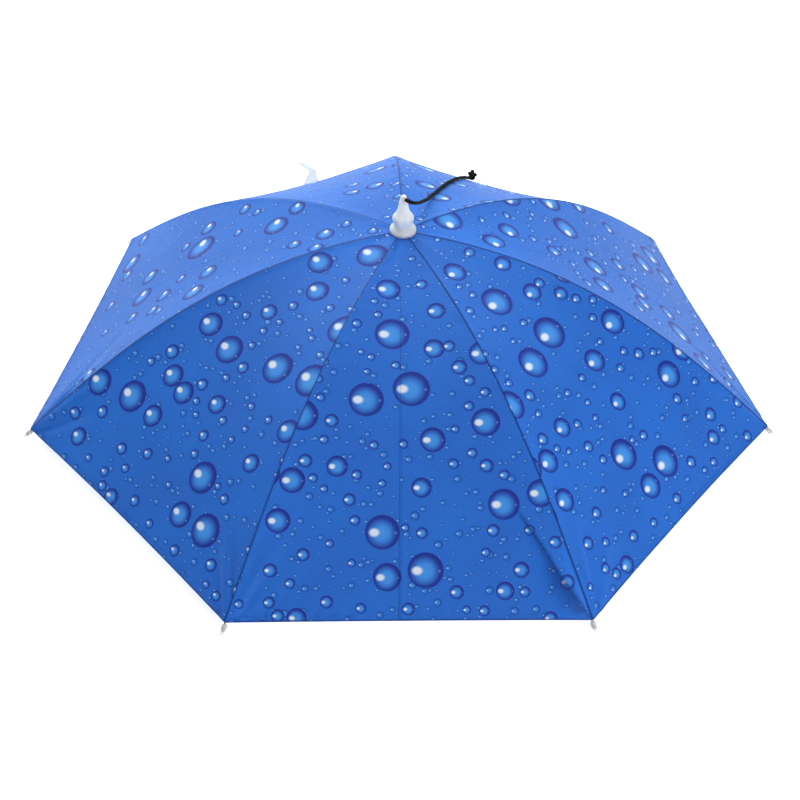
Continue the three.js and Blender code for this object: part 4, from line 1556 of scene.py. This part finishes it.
class HAT_OT_ribs(bpy.types.Operator):
    """Make the ribs, their tips, the stretchers and the clips that join them"""

    bl_idname = "hat.ribs"
    bl_label = "Ribs and stretchers"

    def execute(self, context):
        canopy, hardware = context.scene.hat_canopy, context.scene.hat_hardware
        curve = RibCurve(canopy)
        steel = material("plated_wire", plated_wire, hardware)
        plastic = material("milky_plastic", milky_plastic, hardware)
        hub_radius = box_size("hub").y / 2
        start = curve.share_at(hub_radius - NOTCH_DEPTH + CLEARANCE)
        tip_start = SOLID_CLOTH * math.tan(float(curve.slope(1.0))) + CLEARANCE
        for seam in range(RIBS):
            points = [curve.rib(seam, share, hardware.wire) for share in np.linspace(start, 1, 40)]
            along = down_slope(seam_turn(seam), float(curve.slope(1.0)))
            points.append(points[-1] + along * (tip_start + TIP_SOCKET - CLEARANCE))
            skin = tube(np.array(points), circle(hardware.wire, 16))
            rib = add_object(f"rib_{seam + 1}_wire", mesh_of("rib", *skin), steel)
            settle(rib, "steel_wire", f"rib_{seam + 1}")
            self.add_tip(seam, points[-2] + along * tip_start, along, hardware, plastic)
            self.add_stretcher(seam, curve, hardware, steel)
            self.add_clip(seam, curve, hardware, plastic)
        return {"FINISHED"}

    def add_tip(self, seam, start, along, hardware, plastic):
        """A tapered sleeve with a collar at the cloth and a rounded nose, flat where it stands."""
        radius, length, nose = hardware.tip_radius, hardware.tip_length, 2.0 * MM
        bore = hardware.wire + CLEARANCE
        outline = [(0, TIP_SOCKET), (bore, TIP_SOCKET), (bore, 0), (radius - 0.4 * MM, 0)]
        outline += [(radius, 0.4 * MM), (radius, 1.6 * MM), (radius - 0.15 * MM, 2.2 * MM)]
        outline += arc((0, length - nose), nose, 0, 90, 8)
        points, faces = turned(outline, 32)
        turn = Vector((0, 0, 1)).rotation_difference(Vector(along)).to_matrix()
        points = points @ np.array(turn).T + start
        points[:, 2] = np.maximum(points[:, 2], -CROWN[2])
        tip = add_object(f"rib_tip_{seam + 1}_sleeve", mesh_of("rib_tip", points, faces), plastic)
        settle(tip, "white_plastic", f"rib_tip_{seam + 1}")

    def clip_frame(self, seam, curve, hardware):
        """The clip's middle, and the direction down the rib there."""
        slope = float(curve.slope(CLIP_PLACE))
        turn = seam_turn(seam)
        depth = hardware.wire + CLEARANCE + CLIP_SIZE / 2
        middle = curve.rib(seam, CLIP_PLACE, hardware.wire) - face_up(turn, slope) * depth
        return middle, down_slope(turn, slope)

    def add_stretcher(self, seam, curve, hardware, steel):
        radius = hardware.stretcher_wire
        low, high = (corner.z - CROWN[2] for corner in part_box("runner"))
        reach = box_size("runner").y / 2 - NOTCH_DEPTH + radius + CLEARANCE
        inner = level_out(seam_turn(seam)) * reach + UP * (low + high) / 2
        middle, along = self.clip_frame(seam, curve, hardware)
        outer = middle + along * CLIP_STATIONS[0][0] * MM
        way = unit(outer - inner)
        lean = float(way @ along)
        outer = outer - way * (CLEARANCE + radius * math.sqrt(1 - lean * lean)) / lean
        skin = tube(np.linspace(inner, outer, 12), circle(radius, 16))
        piece = add_object(f"stretcher_{seam + 1}_wire", mesh_of("stretcher", *skin), steel)
        settle(piece, "steel_wire", f"stretcher_{seam + 1}")

    def add_clip(self, seam, curve, hardware, plastic):
        middle, along = self.clip_frame(seam, curve, hardware)
        square = np.cross(np.cross(along, UP), along)
        line = np.array([middle + along * place * MM for place, _ in CLIP_STATIONS])
        outline = rounded_strip(CLIP_SIZE, CLIP_SIZE, 1.1 * MM)
        points, faces = tube(line, np.array([outline * size for _, size in CLIP_STATIONS]))
        rivet = np.cross(along, unit(square)) * 3.25 * MM
        pin = tube(np.linspace(middle - rivet, middle + rivet, 3), circle(1.1 * MM, 16))
        clip = mesh_of("rib_clip", *joined([(points, faces), pin]))
        piece = add_object(f"rib_clip_{seam + 1}_block", clip, plastic)
        settle(piece, "white_plastic", f"rib_clip_{seam + 1}")


class HAT_OT_head_frame(bpy.types.Operator):
    """Make the crown plate and the four arms that carry the headband"""

    bl_idname = "hat.head_frame"
    bl_label = "Crown plate and arms"

    def execute(self, context):
        hardware = context.scene.hat_hardware
        plastic = material("satin_plastic", satin_plastic, hardware)
        low, high = (corner.z - CROWN[2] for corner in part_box("crown_plate"))
        radius = box_size("crown_plate").x / 2
        outline = rounded_disc(radius, low, high, 0.9 * MM)
        recess = [(0.0, low + 1.2 * MM), (7 * MM, low + 1.2 * MM), (7.6 * MM, low)]
        skin = turned(recess + outline[1:], 72)
        plate = add_object("crown_plate_disc", mesh_of("crown_plate", *skin), plastic)
        settle(plate, "black_plastic", "crown_plate")
        for quarter in range(4):
            self.add_arm(quarter, radius, low, high, plastic)
        return {"FINISHED"}

    def add_arm(self, quarter, plate_radius, low, high, plastic):
        thick = 2 * MM
        sideways = quarter % 2 == 1
        band = box_size("headband")
        half = (band.x if sideways else band.y) / 2
        band_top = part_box("headband")[1].z - CROWN[2]
        start = plate_radius + CLEARANCE
        reach = half + CLEARANCE + thick / 2 - start
        top = high - (high - low - thick) / 2 - thick / 2
        rise = top - band_top
        turns = np.linspace(math.pi / 2, 0, 40)
        line = [(start + reach * math.cos(t), band_top + rise * math.sin(t)) for t in turns]
        line += [(start + reach, band_top - drop * MM) for drop in (3, 6, 9, 12, 14.5, 15.6, 16)]
        out = level_out(quarter * math.pi / 2)
        points = np.array([out * x + UP * z for x, z in line])
        widths = np.full(len(points), 1.0)
        widths[-3:] = (0.93, 0.72, 0.4)
        width = 9 * MM
        sections = np.array([rounded_strip(thick, width * size, 0.7 * MM) for size in widths])
        skin = self.flat_tube(points, sections, np.cross(out, UP))
        lower = points[-4]
        stud = tube(
            np.array([lower + out * x * MM for x in (0.6, 1.15, 1.5, 1.7)]),
            np.array([circle(size * MM, 20) for size in (2.4, 2.4, 1.9, 0.9)]),
        )
        mesh = mesh_of("head_arm", *joined([skin, stud]))
        arm = add_object(f"head_arm_{quarter + 1}_strip", mesh, plastic)
        settle(arm, "black_plastic", f"head_arm_{quarter + 1}")

    def flat_tube(self, line, sections, aside):
        """A strip along a line in an upright plane, its flat side facing in and out."""
        ahead = unit(np.gradient(line, axis=0))
        outward = np.cross(ahead, aside)
        rings = line[:, None] + sections[..., :1] * outward[:, None] + sections[..., 1:] * aside
        return rings.reshape(-1, 3), ring_faces(len(line), sections.shape[1])


class HAT_OT_headband(bpy.types.Operator):
    """Make the ribbed elastic headband"""

    bl_idname = "hat.headband"
    bl_label = "Headband"

    def execute(self, context):
        hardware = context.scene.hat_hardware
        low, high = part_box("headband")
        half = (high - low) / 2
        thick = 2.5 * MM
        columns = hardware.band_ribs * 4
        turns = np.arange(columns) * 2 * math.pi / columns
        ribbing = 0.16 * MM * np.cos(turns * hardware.band_ribs)
        profile = self.finer(rounded_strip(thick - 0.6 * MM, high.z - low.z, 0.8 * MM, 3), 14)
        middle = (high.z + low.z) / 2 - CROWN[2]
        grid = []
        for x, z in profile:
            fade = smooth_steps(half.z - abs(z), 0.6 * MM, 2.6 * MM)
            proud = x + math.copysign(1.0, x) * ribbing * (0.35 + 0.65 * fade)
            across = (half.x - thick / 2 + proud) * np.sin(turns)
            along = -(half.y - thick / 2 + proud) * np.cos(turns)
            grid.append(np.stack([across, along, np.full(columns, middle + z)], axis=-1))
        points = np.array(grid).reshape(-1, 3)
        count = len(profile)
        faces = []
        for row in range(count):
            here, there = row * columns, ((row + 1) % count) * columns
            for column in range(columns):
                after = (column + 1) % columns
                faces.append((here + column, there + column, there + after, here + after))
        mesh = mesh_of("headband", points, faces, 60)
        around = np.repeat((turns * (half.x + half.y) / 2)[None], count, axis=0).ravel()
        chart = np.stack([around, points[:, 2]], axis=-1)
        write_map(mesh, "band", chart[np.array(faces)])
        elastic = material("woven_elastic", woven_elastic, hardware)
        band = add_object("headband_loop", mesh, elastic)
        settle(band, "elastic_band", "headband")
        return {"FINISHED"}

    def finer(self, profile, parts):
        """The profile with its two long sides parted."""
        made = []
        for here, there in zip(profile, np.roll(profile, -1, axis=0)):
            made.append(here)
            if abs(there[1] - here[1]) > 5 * MM:
                made += [here + (there - here) * step / parts for step in range(1, parts)]
        return np.array(made)


# Strap, from its foot to its end, in shares of its length: rise, lean to the left along the hem,
# out from the hem, then its twist in degrees and its width as a share
STRAP_SECTIONS = [
    (0.0, -0.06, 0.0, 0, 1.08),
    (0.16, -0.08, 0.05, 3, 1.08),
    (0.3, -0.13, 0.1, 12, 0.8),
    (0.43, -0.17, 0.14, 22, 0.5),
    (0.57, -0.03, 0.17, 33, 0.52),
    (0.69, 0.08, 0.18, 38, 0.5),
    (0.77, 0.19, 0.18, 40, 0.4),
]


# The panel that carries the strap and the place across it, then how thick the strap's solid
# and its cloth are
STRAP_PANEL = 4
STRAP_PLACE = 0.33
STRAP_SOLID = 1.0 * MM
STRAP_CLOTH = 0.6 * MM
# The twist is divided by this while the sections are smoothed, so that the widths space them
TWIST_PARTS = 90


class HAT_OT_tie_strap(bpy.types.Operator):
    """Make the curled end of the closing strap behind the hem"""

    bl_idname = "hat.tie_strap"
    bl_label = "Closing strap"

    def execute(self, context):
        canopy, trim = context.scene.hat_canopy, context.scene.hat_trim
        curve = RibCurve(canopy)
        away = level_out(seam_turn(STRAP_PANEL + 0.5))
        left = np.array([-away[1], away[0], 0.0])
        pull = PANEL_CUTS[STRAP_PANEL]["pull"]
        root = curve.cloth(STRAP_PANEL, 1.0, STRAP_PLACE, canopy.sag, pull)
        root = root + away * (STRAP_SOLID / 2 + CLEARANCE)
        rows = spline([row[:3] for row in STRAP_SECTIONS], 6)
        twists = [(math.radians(row[3]) / TWIST_PARTS, row[4]) for row in STRAP_SECTIONS]
        across = np.linspace(-1, 1, 13)
        grid = []
        for (rise, lean, out), (twist, width) in zip(rows, spline(twists, 6)):
            middle = root + trim.strap_length * (UP * rise + left * lean + away * out)
            angle = twist * TWIST_PARTS
            over = left * math.cos(angle) + away * math.sin(angle)
            square = away * math.cos(angle) - left * math.sin(angle)
            half = trim.strap_width * width / 2
            cup = (1 - across**2) * 1.1 * MM * width
            grid.append(middle + np.outer(across * half, over) + np.outer(cup, square))
        grid = np.array(grid)
        points = two_faced(grid, STRAP_CLOTH)
        count, columns = grid.shape[:2]
        faces = np.concatenate([
            sheet_faces(count, columns, 0),
            sheet_faces(count, columns, 1),
            rim_faces(count, columns),
        ])
        mesh = mesh_of("tie_strap", points, faces.tolist(), 70)
        reach = np.linspace(0, trim.strap_length, count)
        chart = np.stack(np.meshgrid(across * trim.strap_width / 2, reach), axis=-1).reshape(-1, 2)
        write_map(mesh, "print", np.concatenate([chart] * 2)[faces])
        cloth = material("strap_lining", strap_lining, trim)
        strap = add_object("tie_strap_cloth", mesh, cloth)
        settle(strap, "strap_cloth", "tie_strap")
        return {"FINISHED"}


class HAT_PT_sidebar(bpy.types.Panel):
    """The hat's pieces and sizes in the sidebar"""

    bl_idname = "HAT_PT_sidebar"
    bl_label = "Umbrella Hat"
    bl_space_type = "VIEW_3D"
    bl_region_type = "UI"
    bl_category = "Umbrella Hat"

    def draw(self, context):
        for operator in OPERATORS:
            self.layout.operator(operator.bl_idname)
        for name, title, _ in GROUPS:
            box = self.layout.box()
            box.label(text=title)
            group = getattr(context.scene, name)
            for key in group.__annotations__:
                box.prop(group, key)


OPERATORS = (
    HAT_OT_stage,
    HAT_OT_pull_cord,
    HAT_OT_ribs,
    HAT_OT_canopy,
    HAT_OT_stitching,
    HAT_OT_finial,
    HAT_OT_hub,
    HAT_OT_head_frame,
    HAT_OT_headband,
    HAT_OT_tie_strap,
)
GROUPS = (
    ("hat_canopy", "Canopy", HatCanopy),
    ("hat_hardware", "Ribs, plastic and headband", HatHardware),
    ("hat_trim", "Cord and strap", HatTrim),
    ("hat_view", "Camera and floor", HatView),
)


def register():
    for name, _, group in GROUPS:
        bpy.utils.register_class(group)
        setattr(bpy.types.Scene, name, PointerProperty(type=group))
    for kind in (*OPERATORS, HAT_PT_sidebar):
        bpy.utils.register_class(kind)


def unregister():
    for kind in (HAT_PT_sidebar, *reversed(OPERATORS)):
        bpy.utils.unregister_class(kind)
    for name, _, group in reversed(GROUPS):
        delattr(bpy.types.Scene, name)
        bpy.utils.unregister_class(group)


def main():
    """Builds the whole hat."""
    register()
    for operator in OPERATORS:
        area, name = operator.bl_idname.split(".")
        getattr(getattr(bpy.ops, area), name)()


if __name__ == "__main__":
    main()
